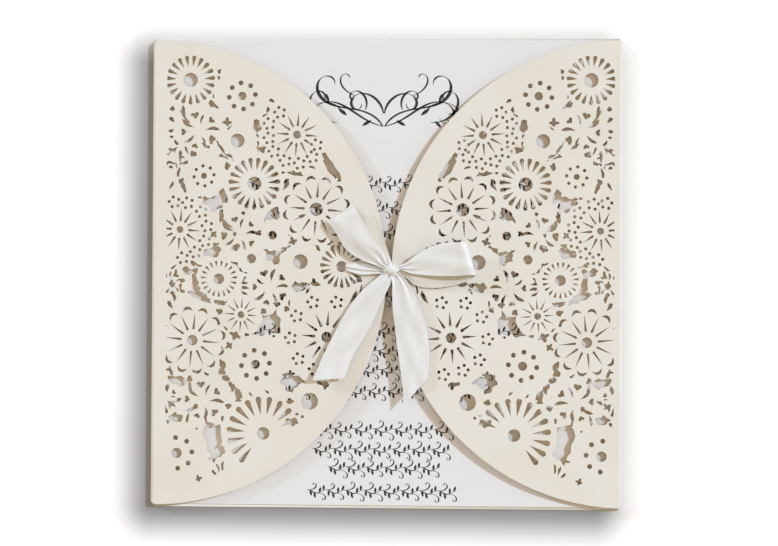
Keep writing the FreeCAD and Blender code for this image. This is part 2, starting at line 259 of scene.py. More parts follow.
@dataclass
class Cloth:
    """Closed thin strip: a grid, thickened along its normals, with the rim joined."""

    points: list[Grid] = field(default_factory=list)
    faces: list[Grid] = field(default_factory=list)
    uvs: list[Grid] = field(default_factory=list)
    kinds: list[Grid] = field(default_factory=list)
    count: int = 0

    def add(self, surface: Grid, thickness: float, across: float) -> None:
        """Adds a strip.

        Upper and lower faces lie half a thickness along the normal on either side of the
        surface, and quads round the rim join them.

        Args:
            surface: rows along the strip, columns across it, last axis x, y, z.
            thickness: thickness of the material.
            across: flat width of the strip, for the map.
        """
        rows, columns = surface.shape[:2]
        normal = grid_normals(surface)
        both = [surface + normal * thickness / 2, surface - normal * thickness / 2]
        n = rows * columns
        top = grid_faces(rows, columns, self.count, True)
        under = grid_faces(rows, columns, self.count + n)
        index = self.count + np.arange(n).reshape(rows, columns)
        rim = np.concatenate([index[0, :-1], index[:-1, -1], index[-1, :0:-1], index[:0:-1, 0]])
        turned = np.roll(rim, -1)
        walls = np.stack([rim, turned, turned + n, rim + n], axis=1)
        run = np.linalg.norm(np.diff(surface[:, columns // 2], axis=0), axis=1)
        v = np.concatenate([[0.0], np.cumsum(run)])
        uv = np.stack(np.meshgrid(np.linspace(0, across, columns), v), axis=-1).reshape(-1, 2)
        self.points += [b.reshape(-1, 3) for b in both]
        self.faces += [top, under, walls]
        self.uvs += [uv, uv]
        self.kinds.append(np.repeat([0, 1, 0], [len(top), len(under), len(walls)]))
        self.count += 2 * n

    def build(self, name: str, smooth: float | None = 50.0) -> bpy.types.Object:
        """Makes the object, with its map in millimetres of cloth.

        Args:
            name: name of the piece.
            smooth: angle in degrees past which an edge stays sharp, or None.

        Returns:
            The piece, whose under side takes its second material.
        """
        return make_object(
            name, np.concatenate(self.points), np.concatenate(self.faces).tolist(),
            uv=np.concatenate(self.uvs), kinds=np.concatenate(self.kinds), smooth=smooth,
        )


def make_object(
    name: str,
    points: Grid,
    faces: list[list[int]],
    uv: Grid | None = None,
    kinds: Grid | None = None,
    smooth: float | None = 40.0,
) -> bpy.types.Object:
    """Makes a mesh object at the origin from points in millimetres.

    Args:
        name: object and mesh name.
        points: vertices.
        faces: vertex numbers of each face.
        uv: one map position for each vertex.
        kinds: material index of each face.
        smooth: angle in degrees past which an edge stays sharp, or None for flat faces.

    Returns:
        The linked object.
    """
    mesh = bpy.data.meshes.new(name)
    mesh.from_pydata((points * MM).tolist(), [], faces)
    if kinds is not None:
        mesh.polygons.foreach_set("material_index", kinds.astype(np.int32))
    if uv is not None:
        layer = mesh.uv_layers.new(name="Cloth")
        corner = np.zeros(len(mesh.loops), np.int32)
        mesh.loops.foreach_get("vertex_index", corner)
        layer.data.foreach_set("uv", uv[corner].astype(np.float32).ravel())
    if smooth is not None:
        mesh.polygons.foreach_set("use_smooth", np.ones(len(mesh.polygons), bool))
        mesh.set_sharp_from_angle(angle=math.radians(smooth))
    mesh.update()
    made = bpy.data.objects.new(name, mesh)
    bpy.context.scene.collection.objects.link(made)
    return made


# ---------------------------------------------------------------- flower lace


@dataclass(frozen=True)
class Flower:
    """A flower of the lace. Its place u is taken from the sleeve's side, v from its middle."""

    u: float
    v: float
    eye: float
    outer: float

    @property
    def middle(self) -> tuple[float, float]:
        """Centre of the flower."""
        return self.u, self.v

    def card(self) -> list[Outline]:
        """Outlines of the card that the flower keeps."""
        return [scalloped(self.middle, self.outer, depth=0.55, lobes=16, phase=0.0)]

    def cuts(self) -> list[Outline]:
        """Outlines that are cut out of the flower."""
        return [circle(self.middle, self.eye, 22)] if self.eye else []


def fan(count: int, phase: float, first: float = 0.0, last: float = 360.0) -> list[float]:
    """Even angles round a flower, in degrees.

    Args:
        count: how many make the whole round.
        phase: one of them.
        first: angle that the list starts from.
        last: angle past which they are left out.

    Returns:
        The angles in rising order.
    """
    angles = [(phase + 360.0 * k / count - first) % 360.0 + first for k in range(count)]
    return sorted(a for a in angles if a <= last)


@dataclass(frozen=True)
class Aster(Flower):
    """Many narrow petals with a drop-shaped slot between each two."""

    start: float
    end: float
    width: float
    petals: int = 19
    phase: float = 5.0
    first: float = 0.0
    last: float = 360.0

    def card(self) -> list[Outline]:
        """Scalloped disc, one lobe for each petal."""
        half_step = 180 / self.petals
        return [scalloped(self.middle, self.outer, 0.6, self.petals, self.phase + half_step)]

    def cuts(self) -> list[Outline]:
        """Slots, whose inner points wander a little.

        Returns:
            Eye and slots.
        """
        slots = []
        for a in fan(self.petals, self.phase, self.first, self.last):
            start = self.start * (1 + 0.05 * math.sin(a + self.u))
            slots.append(set_on_ray(self.middle, a, *drop(start, self.end, self.width, True)))
        return super().cuts() + slots


@dataclass(frozen=True)
class Button(Flower):
    """Scalloped disc with a ring of dots round its eye."""

    ring: float = 0.0
    dot: float = 0.0
    phase: float = 6.0
    lobes: int = 18
    dots: int = 8
    first: float = 0.0
    last: float = 360.0

    def card(self) -> list[Outline]:
        """Scalloped disc."""
        return [scalloped(self.middle, self.outer, 0.55, self.lobes, self.phase)]

    def cuts(self) -> list[Outline]:
        """Round dots on a ring.

        Returns:
            Eye and dots.
        """
        angles = fan(self.dots, self.phase, self.first, self.last) if self.dot else []
        places = polar(self.middle, np.array(angles), self.ring)
        return super().cuts() + [circle(place, self.dot, 14) for place in places]


@dataclass(frozen=True)
class Burst(Flower):
    """Twelve thin rays round an eye, and crescents between them where tip is set."""

    start: float
    end: float
    width: float
    phase: float = 26.0
    tip: float = 0.0
    rays: int = 12

    def card(self) -> list[Outline]:
        """Plain disc, or round petals where crescents mark their tips."""
        depth, between = 1.2 if self.tip else 0.4, self.phase + 180 / self.rays
        return [scalloped(self.middle, self.outer, depth, self.rays, between)]

    def cuts(self) -> list[Outline]:
        """Rays with their points outwards, and crescents half a step on.

        Returns:
            Eye, rays and crescents.
        """
        angles = fan(self.rays, self.phase)
        ray = drop(self.start, self.end, self.width, False)
        made = [set_on_ray(self.middle, a, *ray) for a in angles]
        if self.tip:
            petal = crescent(self.tip, half=1.65, width=0.95, bow=0.75)
            made += [set_on_ray(self.middle, a + 180 / self.rays, *petal) for a in angles]
        return super().cuts() + made


@dataclass(frozen=True)
class Cosmos(Flower):
    """Five broad petals, each with a heart, and a slit between each two."""

    core: float = 1.9
    size: float = 2.8
    phase: float = 2.0
    slit: float = 1.0
    notch: float = 0.3

    def card(self) -> list[Outline]:
        """Five lobes: the radius falls by the notch times one less a rounded cosine.

        Smaller waves, twenty-five round, crimp the petals' rims.

        Returns:
            The one outline.
        """
        a = np.arange(120) * 3.0
        lobe = np.abs(np.cos(np.radians(2.5 * (a - self.phase - 36)))) ** 0.6
        bulge = 1 - self.notch * (1 - lobe)
        bulge -= 0.035 * (1 - np.abs(np.cos(np.radians(25 * (a - self.phase) / 2))) ** 0.7)
        return [polar(self.middle, a, self.outer * bulge)]

    def cuts(self) -> list[Outline]:
        """Slits and hearts, five of each, no two quite alike.

        A slit's width is a rounded sine along it, and a second sine bows it to one side.

        Returns:
            Eye, slits and hearts.
        """
        t = np.linspace(0.0, 1.0, 7)
        there_and_back = np.concatenate([t, t[-2:0:-1]])
        out = []
        for k, a in enumerate(fan(5, self.phase)):
            sway = math.sin(2.3 * k + self.u)
            reach = self.outer * (0.64 + 0.08 * sway)
            w = self.slit * (1 + 0.25 * sway)
            wide = w / 2 * np.sin(np.pi * t**1.5) ** 0.7
            bow = 0.5 * w * np.sin(np.pi * t)
            along = self.core + (reach - self.core) * there_and_back
            across = np.concatenate([bow + wide, (bow - wide)[-2:0:-1]])
            out.append(set_on_ray(self.middle, a, along, across))
            size = self.size * (0.9 - 0.15 * math.cos(1.9 * k + self.v))
            shape = heart(self.outer * 0.53, size, size * 0.88)
            out.append(set_on_ray(self.middle, a + 36 + 4 * sway, *shape))
        return super().cuts() + out


@dataclass(frozen=True)
class Gap:
    """Opening between the flowers, given by its middle, its two half sizes and its angle."""

    u: float
    v: float
    length: float
    width: float
    angle: float = 0.0

    def oval(self, angles: Grid, radii: Grid, grown: float = 1.0) -> Outline:
        """Ellipse of the two half sizes, whose radii rise and fall.

        Args:
            angles: degrees round it.
            radii: share of the ellipse's own radius at each angle.
            grown: scale of the whole.

        Returns:
            The outline.
        """
        t = np.radians(angles)
        along, across = grown * self.length * radii, grown * self.width * radii
        return set_on_ray((self.u, self.v), self.angle, along * np.cos(t), across * np.sin(t))

    def outline(self) -> Outline:
        """Ragged oval, as petals' rims leave it.

        Its radii are a slow wave of three turns, less a rounded cosine of the rims that
        bulge into it: the larger the opening, the more rims.

        Returns:
            The outline.
        """
        rims = 4 if self.length < 1.6 else 5 if self.length < 3.5 else 8
        t = np.arange(rims * 6) * 60.0 / rims
        wave = 1.16 + 0.14 * np.cos(np.radians(3 * t + 40 * self.u + 25 * self.v))
        return self.oval(t, wave - 0.24 * np.abs(np.cos(np.radians(rims / 2 * t + 70 * self.u))))

    def star(self) -> Outline:
        """Small ragged star: a cosine of four turns makes its points, one of three bends them.

        Returns:
            The outline.
        """
        t = np.arange(24) * 15.0
        points = 0.78 + 0.26 * np.cos(np.radians(4 * t))
        return self.oval(t, points + 0.12 * np.cos(np.radians(t * 3 + 50 * self.u)), 1.25)


# Rows give u, v, eye, outer, and then each kind's own fields.
FLOWERS: list[Flower] = [
    Aster(12.1, 61.5, 2.3, 9.1, 4.6, 7.9, 1.35),
    Aster(32.8, 28.35, 2.25, 9.6, 4.2, 8.35, 1.45),
    Aster(60.9, 2.0, 1.75, 8.2, 3.5, 7.0, 1.2),
    Aster(21.6, -2.1, 1.7, 6.4, 3.6, 5.8, 0.75),
    Aster(36.1, -51.3, 2.0, 13.4, 5.8, 11.8, 1.8, 19, 3.7, 15.0, 240.0),
    Button(28.75, 56.4, 1.35, 8.0, 4.2, 0.78),
    Button(16.6, 30.8, 0.95, 7.2, 3.2, 0.55),
    Button(33.5, -29.35, 1.45, 9.6, 4.5, 0.8, 5.4, 22),
    Button(8.4, -57.8, 1.63, 9.6, 4.9, 0.8, 4.5, 18, 8, -90.0, 100.0),
    Button(27.3, 42.1, 2.25, 6.6),
    Button(38.7, 11.9, 1.4, 5.2, lobes=14),
    Button(32.0, 4.4, 1.5, 5.0, lobes=14),
    Button(47.7, 3.5, 2.35, 6.9),
    Button(50.9, -40.95, 2.7, 6.4, lobes=16),
    Burst(46.4, 44.0, 1.3, 9.4, 2.7, 7.2, 0.8),
    Burst(9.0, 13.6, 1.1, 8.6, 2.6, 6.9, 0.8),
    Burst(28.8, -13.5, 1.1, 7.2, 2.2, 5.8, 0.55),
    Burst(56.2, -20.5, 1.7, 9.8, 3.6, 8.4, 0.95),
    Burst(52.7, 20.2, 2.1, 11.9, 3.7, 8.8, 0.8, 26.0, 9.9),
    Burst(13.2, -21.75, 1.7, 11.7, 3.4, 9.0, 0.75, 24.5, 9.9),
    Cosmos(15.0, 45.3, 0.0, 9.6),
    Cosmos(28.0, 12.2, 0.0, 9.2),
    Cosmos(38.0, -4.8, 0.0, 9.2),
    Cosmos(16.8, -41.0, 0.0, 9.8, phase=-6.0),
    Cosmos(6.7, 36.5, 0.0, 5.6, 1.4, 1.7, 0.0, 0.6),
    Cosmos(6.4, -3.6, 0.0, 5.6, 1.4, 1.7, 20.0, 0.6),
    Cosmos(4.8, -40.0, 0.0, 5.6, 1.4, 1.7, 0.0, 0.6),
]
FLORETS = [
    (40.8, 51.1), (37.4, 47.5), (37.4, 42.9), (39.0, 38.6), (42.6, 35.65), (47.2, 34.8),
    (51.3, 36.9), (52.6, 40.75), (7.1, 22.4), (11.4, 22.1), (15.9, 19.3), (17.7, 14.7),
    (17.0, 9.9), (14.0, 6.35), (9.9, 4.5), (51.75, -9.5), (59.4, -9.4), (46.6, -13.9),
    (44.7, -20.9), (47.25, -27.5), (52.35, -30.8), (58.6, -32.2),
]
FLOWERS += [
    Button(u, v, 0.0, 3.0, ring=1.65, dot=0.52, phase=30.0, lobes=5, dots=5) for u, v in FLORETS
]

# Openings between the flowers. They lose whatever the flowers keep. Rows are Gap's fields.
GAPS = [Gap(*g) for g in [
    (21.0, 64.1, 1.0, 0.65, 30), (21.1, 62.2, 0.5, 0.6), (19.2, 56.5, 0.8, 0.5, -60),
    (19.6, 53.2, 2.3, 0.9, -45), (33.4, 46.7, 2.1, 1.35, 90), (21.4, 45.4, 1.4, 0.7, 20),
    (33.3, 43.4, 1.1, 0.7, 90), (33.4, 40.9, 1.2, 0.8, 90), (35.3, 39.3, 1.6, 1.0, 10),
    (38.2, 54.9, 0.9, 0.5, -30), (37.0, 52.0, 0.9, 0.5, 80), (36.1, 50.2, 0.9, 0.4, 20),
    (57.3, 33.7, 5.0, 1.3, -57), (60.0, 29.6, 1.0, 0.4, 60), (46.0, 31.7, 2.3, 0.8, -8),
    (42.7, 28.1, 2.1, 0.9, 58), (39.3, 31.2, 1.2, 0.8, 40), (51.2, 33.7, 1.1, 0.4, -20),
    (38.8, 18.2, 2.9, 1.9, 40), (18.0, 39.8, 2.4, 1.3, -30), (22.4, 39.6, 2.8, 0.7, -55),
    (25.8, 36.8, 4.0, 1.1, -10), (24.1, 33.9, 0.9, 1.2), (19.9, 22.2, 3.8, 2.3, 15),
    (22.4, 18.0, 2.1, 0.9, 90), (19.3, 6.6, 3.1, 1.7, 10), (43.4, 13.2, 1.9, 1.1, -50),
    (38.7, 4.6, 3.1, 2.5, 75), (41.3, 3.8, 2.5, 0.9, -80), (42.4, 7.2, 1.3, 0.8, 40),
    (52.4, 7.9, 1.9, 0.9, -25), (58.6, 8.3, 2.6, 1.2, -30), (26.8, 3.1, 1.3, 0.6, -15),
    (28.4, 1.6, 1.5, 0.7, -55), (30.2, 0.3, 1.7, 0.6, -10), (13.9, -3.2, 2.7, 1.0, -85),
    (15.5, -7.6, 3.8, 1.3, -25), (22.2, -9.7, 2.3, 0.8, -5), (47.0, -4.3, 3.2, 1.8, 2),
    (52.4, -3.5, 1.3, 0.7, -5), (37.6, -15.0, 5.0, 3.8, 100), (30.0, -4.8, 2.9, 1.2, 92),
    (36.0, 8.0, 2.0, 1.3), (11.0, 0.3, 1.9, 1.3), (22.9, 24.7, 2.2, 1.2, 115),
    (34.6, -19.0, 2.4, 1.2), (23.0, -29.5, 1.7, 1.0, -60), (22.7, -31.6, 1.2, 1.2),
    (23.9, -34.0, 1.5, 1.1, 30), (25.9, -36.3, 1.7, 1.3, 90), (28.1, -39.2, 2.1, 1.1, -75),
    (8.6, -34.8, 3.1, 1.6, -15), (45.4, -35.2, 4.6, 2.7, -25), (55.2, -35.7, 1.9, 1.2, -10),
    (20.0, -53.0, 6.4, 2.7, 97), (22.8, -57.0, 1.8, 1.1, 70), (14.0, -46.6, 2.2, 1.0, 50),
    (64.9, -7.6, 2.0, 0.6, 62), (8.3, -46.6, 2.3, 1.2), (16.8, 37.0, 1.4, 0.6, -20),
    (24.6, 6.0, 1.6, 0.8, 40), (36.2, 22.0, 1.0, 0.6, -60), (21.0, 28.5, 0.8, 0.5, 70),
    (42.6, -9.6, 1.2, 0.8, 40), (12.0, 40.6, 1.5, 0.7, 20), (9.9, 51.3, 2.0, 0.9, -85),
]]
# Small openings that are cut through whatever lies there.
NICKS = [Gap(*g) for g in [
    (9.9, 51.2, 1.9, 0.6, -85), (10.9, 48.6, 1.4, 0.45, -50), (21.0, 41.2, 1.0, 0.3, -70),
    (8.4, 31.9, 1.6, 0.45, 78), (8.9, 37.2, 1.7, 0.42, 92), (6.0, 35.0, 1.5, 0.35, -14),
    (10.6, 35.0, 1.0, 0.5, 25), (13.1, 37.8, 1.1, 0.9), (9.3, 29.1, 1.0, 0.8, 60),
    (10.1, 27.1, 1.7, 0.65, -68), (6.2, 27.8, 1.3, 0.4, 60), (7.6, 41.4, 1.0, 0.45, -50),
    (10.9, 39.1, 1.3, 0.35, -66), (6.1, 38.7, 1.5, 0.32, 42), (17.2, 40.4, 1.5, 0.5, -30),
    (18.9, 43.3, 0.6, 0.5), (22.2, 39.5, 1.9, 0.45, -55), (24.6, 37.3, 1.3, 0.45, -22),
    (23.5, 23.2, 1.2, 0.7, -60), (22.4, 25.5, 1.0, 0.8), (15.3, 23.9, 0.6, 0.35),
    (16.8, 23.8, 0.7, 0.35, 20), (20.6, 9.0, 1.1, 0.4), (23.8, 15.7, 2.4, 0.5, -42),
    (22.4, 18.0, 1.6, 0.6, 88), (27.3, 8.2, 1.1, 0.9), (13.4, 2.8, 1.1, 0.7, -33),
    (15.2, 2.1, 1.0, 0.35, -12), (14.0, 0.5, 0.9, 1.0), (7.6, -0.4, 1.3, 0.5, 72),
    (9.8, -2.7, 0.9, 0.7), (6.6, -3.8, 1.2, 0.75, -80), (9.8, -6.0, 1.0, 0.55, -32),
    (7.2, -7.8, 1.4, 0.55, -72), (5.9, -10.3, 1.3, 0.6, -60), (7.0, 1.6, 1.2, 0.3, 38),
    (21.9, -12.5, 1.1, 0.9, -20), (29.9, -3.4, 0.9, 0.4), (30.1, -4.9, 1.2, 0.5, -10),
    (29.9, -6.7, 1.0, 0.4, -25), (50.2, -5.6, 1.2, 0.45, 55), (13.9, -2.7, 1.5, 0.55, 88),
    (13.9, -4.7, 0.9, 0.8), (15.0, -5.2, 0.8, 0.55, -30), (17.8, -9.0, 1.0, 0.55, -20),
    (40.3, -10.1, 1.1, 0.8), (43.4, -11.6, 0.85, 0.9), (44.2, -9.7, 1.0, 0.3, 90),
    (36.0, -12.4, 0.95, 0.95), (66.5, -2.2, 0.9, 0.9), (67.1, -5.2, 1.5, 0.3, 80),
    (58.0, 8.2, 0.8, 0.5, 40), (60.4, 9.3, 0.8, 0.5, -20), (21.7, -16.3, 0.5, 0.5),
    (23.9, -17.9, 0.9, 0.3, -45), (30.7, -19.9, 0.8, 0.5), (6.4, -31.8, 1.5, 0.5, -72),
    (8.7, -33.9, 1.9, 0.35, -12), (5.4, -31.2, 0.6, 0.4), (17.8, -32.5, 0.9, 0.4, -30),
    (13.7, -31.7, 0.5, 0.3, -20), (12.4, -34.1, 1.0, 0.85, 90), (12.6, -36.5, 1.5, 0.5, -78),
    (6.7, -42.2, 1.3, 0.5, -35), (5.0, -36.8, 1.3, 0.5, 62), (14.3, -43.0, 1.0, 0.7, 50),
    (27.9, -38.7, 1.3, 0.9, 90), (28.0, -40.7, 1.0, 0.7), (44.6, -41.0, 1.1, 0.9),
    (32.0, -38.9, 0.8, 0.3, -50), (37.3, -38.1, 0.8, 0.35, -40), (45.2, -47.6, 2.0, 1.1, -10),
    (48.6, -45.9, 0.5, 0.5), (46.9, -45.1, 0.6, 0.4), (23.1, -61.8, 1.5, 0.4, 88),
    (21.7, -62.3, 1.3, 0.4, -70), (20.4, -63.9, 1.0, 0.4, -45), (19.3, -59.5, 1.0, 0.35, 10),
    (21.4, -50.2, 1.3, 0.65, 80), (19.0, -48.4, 1.5, 0.45, -10), (17.6, -46.4, 1.8, 0.4, -83),
    (23.0, -46.7, 0.9, 0.45, 85), (14.8, -50.0, 0.35, 0.35), (5.6, -47.7, 0.7, 0.5, 60),
    (7.5, -45.6, 1.0, 0.6, 30), (11.8, -46.6, 1.6, 0.45, 78), (4.9, -44.0, 1.4, 0.45, -75),
    (9.0, -40.8, 1.0, 0.5, 30), (6.3, 52.3, 0.75, 0.75), (6.1, 48.9, 1.0, 0.6, -42),
    (5.9, 45.2, 0.8, 0.5, 20), (6.1, 43.3, 0.6, 0.4), (24.9, -42.7, 1.0, 0.85),
    (34.3, 12.6, 0.9, 0.8, 30), (42.4, 7.3, 1.1, 0.7, 40), (43.9, 8.3, 0.8, 0.4, 30),
    (51.9, -2.9, 1.2, 0.55, 80), (53.1, -3.9, 1.2, 0.35), (39.3, -20.3, 0.5, 0.4),
    (23.3, 12.3, 1.0, 0.6, -20), (26.6, 12.2, 0.5, 0.7), (29.3, 18.9, 0.6, 0.6),
    (48.0, 18.0, 0.8, 0.5), (42.0, 31.9, 0.6, 0.4), (24.6, 46.2, 1.0, 0.25, 40),
]]
STARS = [Gap(*g) for g in [
    (23.9, 48.0, 1.3, 1.15), (45.2, 9.95, 1.2, 1.1, 20), (19.85, 12.1, 1.0, 0.9, 45),
    (6.5, -3.7, 0.9, 0.9, 10), (23.1, -9.9, 1.0, 0.7, 30), (15.46, -65.9, 0.9, 0.9, 20),
    (24.97, -23.4, 1.1, 1.0, 35), (26.9, -20.2, 1.6, 1.2, -25), (44.8, -32.3, 1.2, 0.9, 10),
]]


@dataclass
class Lace:
    """The artwork that the laser cuts out of one flap."""

    border: float = 4.6  # plain card beside the crease
    reach: float = 71.5  # radius of the field
    centre: float = 1.0  # where the field's middle lies, from the sleeve's side

    def kept(self) -> list[Outline]:
        """Outlines of the flowers' card."""
        return [o for flower in FLOWERS for o in flower.card()]

    def cuts(self) -> list[Outline]:
        """Outlines cut through the card, as far as they lie in the field.

        Returns:
            The flowers' cuts, the nicks and the stars.
        """
        found = [o for flower in FLOWERS for o in flower.cuts()]
        found += [n.outline() for n in NICKS] + [s.star() for s in STARS]
        return [o for o in found if self.holds(o)]

    def gaps(self) -> list[Outline]:
        """Outlines of the openings between flowers."""
        return [g.outline() for g in GAPS]

    def holds(self, outline: Outline) -> bool:
        """Whether an outline stays within the field's radius and partly past its border."""
        far = np.hypot(outline[:, 0] - self.centre, outline[:, 1]).max()
        return bool(far < self.reach and outline[:, 0].max() > self.border)

    def open_at(self, points: Grid) -> Grid:
        """True where the card is cut away: in a cut, or in a gap and in no flower's card."""
        in_gap = inside_any(points, self.gaps()) & ~inside_any(points, self.kept())
        return (in_gap | inside_any(points, self.cuts())) & (points[:, 0] > self.border)


# ---------------------------------------------------------------- finishes


def linear(red: int, green: int, blue: int) -> tuple[float, float, float, float]:
    """Scene colour of a colour as it is seen on a screen, by the usual power curve.

    Args:
        red: 0 to 255.
        green: 0 to 255.
        blue: 0 to 255.

    Returns:
        Red, green, blue and a full alpha.
    """
    rgb = np.array([red, green, blue]) / 255.0
    rgb = np.where(rgb <= 0.04045, rgb / 12.92, ((rgb + 0.055) / 1.055) ** 2.4)
    return (*rgb.tolist(), 1.0)


class Place(Enum):
    """Where a pattern takes its coordinates from."""

    OBJECT = "Object"
    MAP = "UV"


class Recipe:
    """A node material in the making."""

    def __init__(self, name: str, place: Place = Place.OBJECT) -> None:
        """Starts a material with one principled shader and a coordinate node.

        Args:
            name: name of the material.
            place: where its patterns take their coordinates from.
        """
        self.material = bpy.data.materials.new(name)
        self.material.use_nodes = True
        self.tree = self.material.node_tree
        self.shader = self.tree.nodes["Principled BSDF"]
        self.spot = self.tree.nodes.new("ShaderNodeTexCoord").outputs[place.value]

    def node(self, kind: str, **settings: object) -> bpy.types.Node:
        """Adds a node.

        Args:
            kind: its type.
            settings: attributes to set on it.

        Returns:
            The node.
        """
        made = self.tree.nodes.new(kind)
        for key, value in settings.items():
            setattr(made, key, value)
        return made

    def join(self, out: Socket, into: Socket) -> None:
        """Links two sockets."""
        self.tree.links.new(out, into)

    def set(self, **values: object) -> None:
        """Sets the shader's own sockets; an underscore stands for a space."""
        for key, value in values.items():
            self.shader.inputs[key.replace("_", " ")].default_value = value

    def feed(self, slots: Iterable[Socket], *terms: object) -> None:
        """Gives slots their terms in order.

        Args:
            slots: sockets to feed.
            terms: for each, a socket that is linked or a constant that is set.
        """
        for slot, term in zip(slots, terms):
            if isinstance(term, Socket):
                self.join(term, slot)
            else:
                slot.default_value = term

    def maths(self, operation: str, *terms: object) -> Socket:
        """One sum.

        Args:
            operation: its name.
            terms: sockets or numbers.

        Returns:
            The result.
        """
        made = self.node("ShaderNodeMath", operation=operation)
        self.feed(made.inputs, *terms)
        return made.outputs["Value"]

    def vector(self, operation: str, *terms: object) -> Socket:
        """One vector sum, or a vector's length.

        Args:
            operation: its name.
            terms: sockets or triples.

        Returns:
            The result.
        """
        made = self.node("ShaderNodeVectorMath", operation=operation)
        self.feed(made.inputs, *terms)
        return made.outputs["Value" if operation == "LENGTH" else "Vector"]

    def blend(self, share: Socket, first: object, second: object) -> Socket:
        """Colour between two.

        Args:
            share: 0 for the first and 1 for the second.
            first: a socket or a constant.
            second: a socket or a constant.

        Returns:
            The colour.
        """
        made = self.node("ShaderNodeMix", data_type="RGBA")
        self.feed((made.inputs[0], made.inputs[6], made.inputs[7]), share, first, second)
        return made.outputs[2]

    def stretched(self, scale: Sequence[float], angle: float = 0.0) -> Socket:
        """The coordinates, scaled by axis and turned about Z.

        Args:
            scale: one factor for each axis.
            angle: turn in radians.

        Returns:
            The new coordinates.
        """
        mapping = self.node("ShaderNodeMapping")
        mapping.inputs["Scale"].default_value = scale
        mapping.inputs["Rotation"].default_value = (0.0, 0.0, angle)
        self.join(self.spot, mapping.inputs["Vector"])
        return mapping.outputs["Vector"]

    def noise(self, scale: float, detail: float, at: Socket | None = None) -> Socket:
        """Noise.

        Args:
            scale: grains to the metre, or to a unit of the coordinates.
            detail: how many finer layers lie over it.
            at: coordinates, or None for the piece's own.

        Returns:
            Its height, about 0 to 1.
        """
        made = self.node("ShaderNodeTexNoise")
        made.inputs["Scale"].default_value = scale
        made.inputs["Detail"].default_value = detail
        self.join(at or self.spot, made.inputs["Vector"])
        return made.outputs["Fac"]

    def paint(
        self, pattern: Socket, deep: Colour, pale: Colour, start: float = 0.35, stop: float = 0.65
    ) -> None:
        """Colours the surface by a ramp over a pattern.

        Args:
            pattern: height that the ramp reads.
            deep: colour at the start and below.
            pale: colour at the stop and above.
            start: height where the ramp begins.
            stop: height where it ends.
        """
        ramp = self.node("ShaderNodeValToRGB")
        for element, place, colour in zip(ramp.color_ramp.elements, (start, stop), (deep, pale)):
            element.position = place
            element.color = linear(*colour)
        self.join(pattern, ramp.inputs["Fac"])
        self.join(ramp.outputs["Color"], self.shader.inputs["Base Color"])

    def bump(self, height: Socket, depth: float, strength: float) -> None:
        """Raises the surface.

        Args:
            height: pattern from 0 to 1.
            depth: millimetres that 1 stands for.
            strength: share of the slope that shows.
        """
        made = self.node("ShaderNodeBump")
        made.inputs["Strength"].default_value = strength
        made.inputs["Distance"].default_value = depth * MM
        self.join(height, made.inputs["Height"])
        self.join(made.outputs["Normal"], self.shader.inputs["Normal"])


@dataclass(frozen=True)
class PearlCard:
    """Cream card with a faint pearl sheen and the tooth of its fibres."""

    pale: Colour = (236, 232, 223)
    deep: Colour = (232, 227, 217)
    clouds: float = 55.0  # to the metre, as are all grains on a card
    fibres: float = 2600.0
    dimples: float = 700.0

    def make(self) -> bpy.types.Material:
        """Cream that drifts over 20 mm, under fibres of a quarter millimetre.

        Returns:
            The material.
        """
        r = Recipe("pearl_card")
        r.paint(r.noise(self.clouds, 3.0), self.deep, self.pale)
        fibres = r.noise(self.fibres, 4.0, r.stretched((1.0, 1.5, 1.0), 0.5))
        r.bump(r.maths("ADD", fibres, r.noise(self.dimples, 2.0)), 0.045, 0.4)
        r.set(Roughness=0.56, Specular_IOR_Level=0.32, Coat_Weight=0.08, Coat_Roughness=0.4)
        return r.material


@dataclass(frozen=True)
class ToastedEdge:
    """Edge that the laser has browned."""

    pale: Colour = (226, 188, 134)
    deep: Colour = (194, 148, 94)
    streaks: float = 1800.0

    def make(self) -> bpy.types.Material:
        """Tan to brown along fine streaks through the card's thickness.

        Returns:
            The material.
        """
        r = Recipe("toasted_edge")
        streaks = r.noise(self.streaks, 3.0, r.stretched((1.0, 1.0, 0.1)))
        r.paint(streaks, self.deep, self.pale, 0.3, 0.7)
        r.set(Roughness=0.9, Specular_IOR_Level=0.15)
        return r.material


@dataclass(frozen=True)
class SmokedBack:
    """Inner face of the flaps, tanned by the laser's smoke."""

    pale: Colour = (243, 214, 164)
    deep: Colour = (229, 192, 134)
    clouds: float = 180.0
    fibres: float = 2600.0

    def make(self) -> bpy.types.Material:
        """Cream card with tan clouds of about 5 mm and its own fibres.

        Returns:
            The material.
        """
        r = Recipe("smoked_back")
        r.paint(r.noise(self.clouds, 4.0), self.deep, self.pale, 0.3, 0.7)
        r.bump(r.noise(self.fibres, 4.0), 0.04, 0.5)
        r.set(Roughness=0.75, Specular_IOR_Level=0.25)
        return r.material


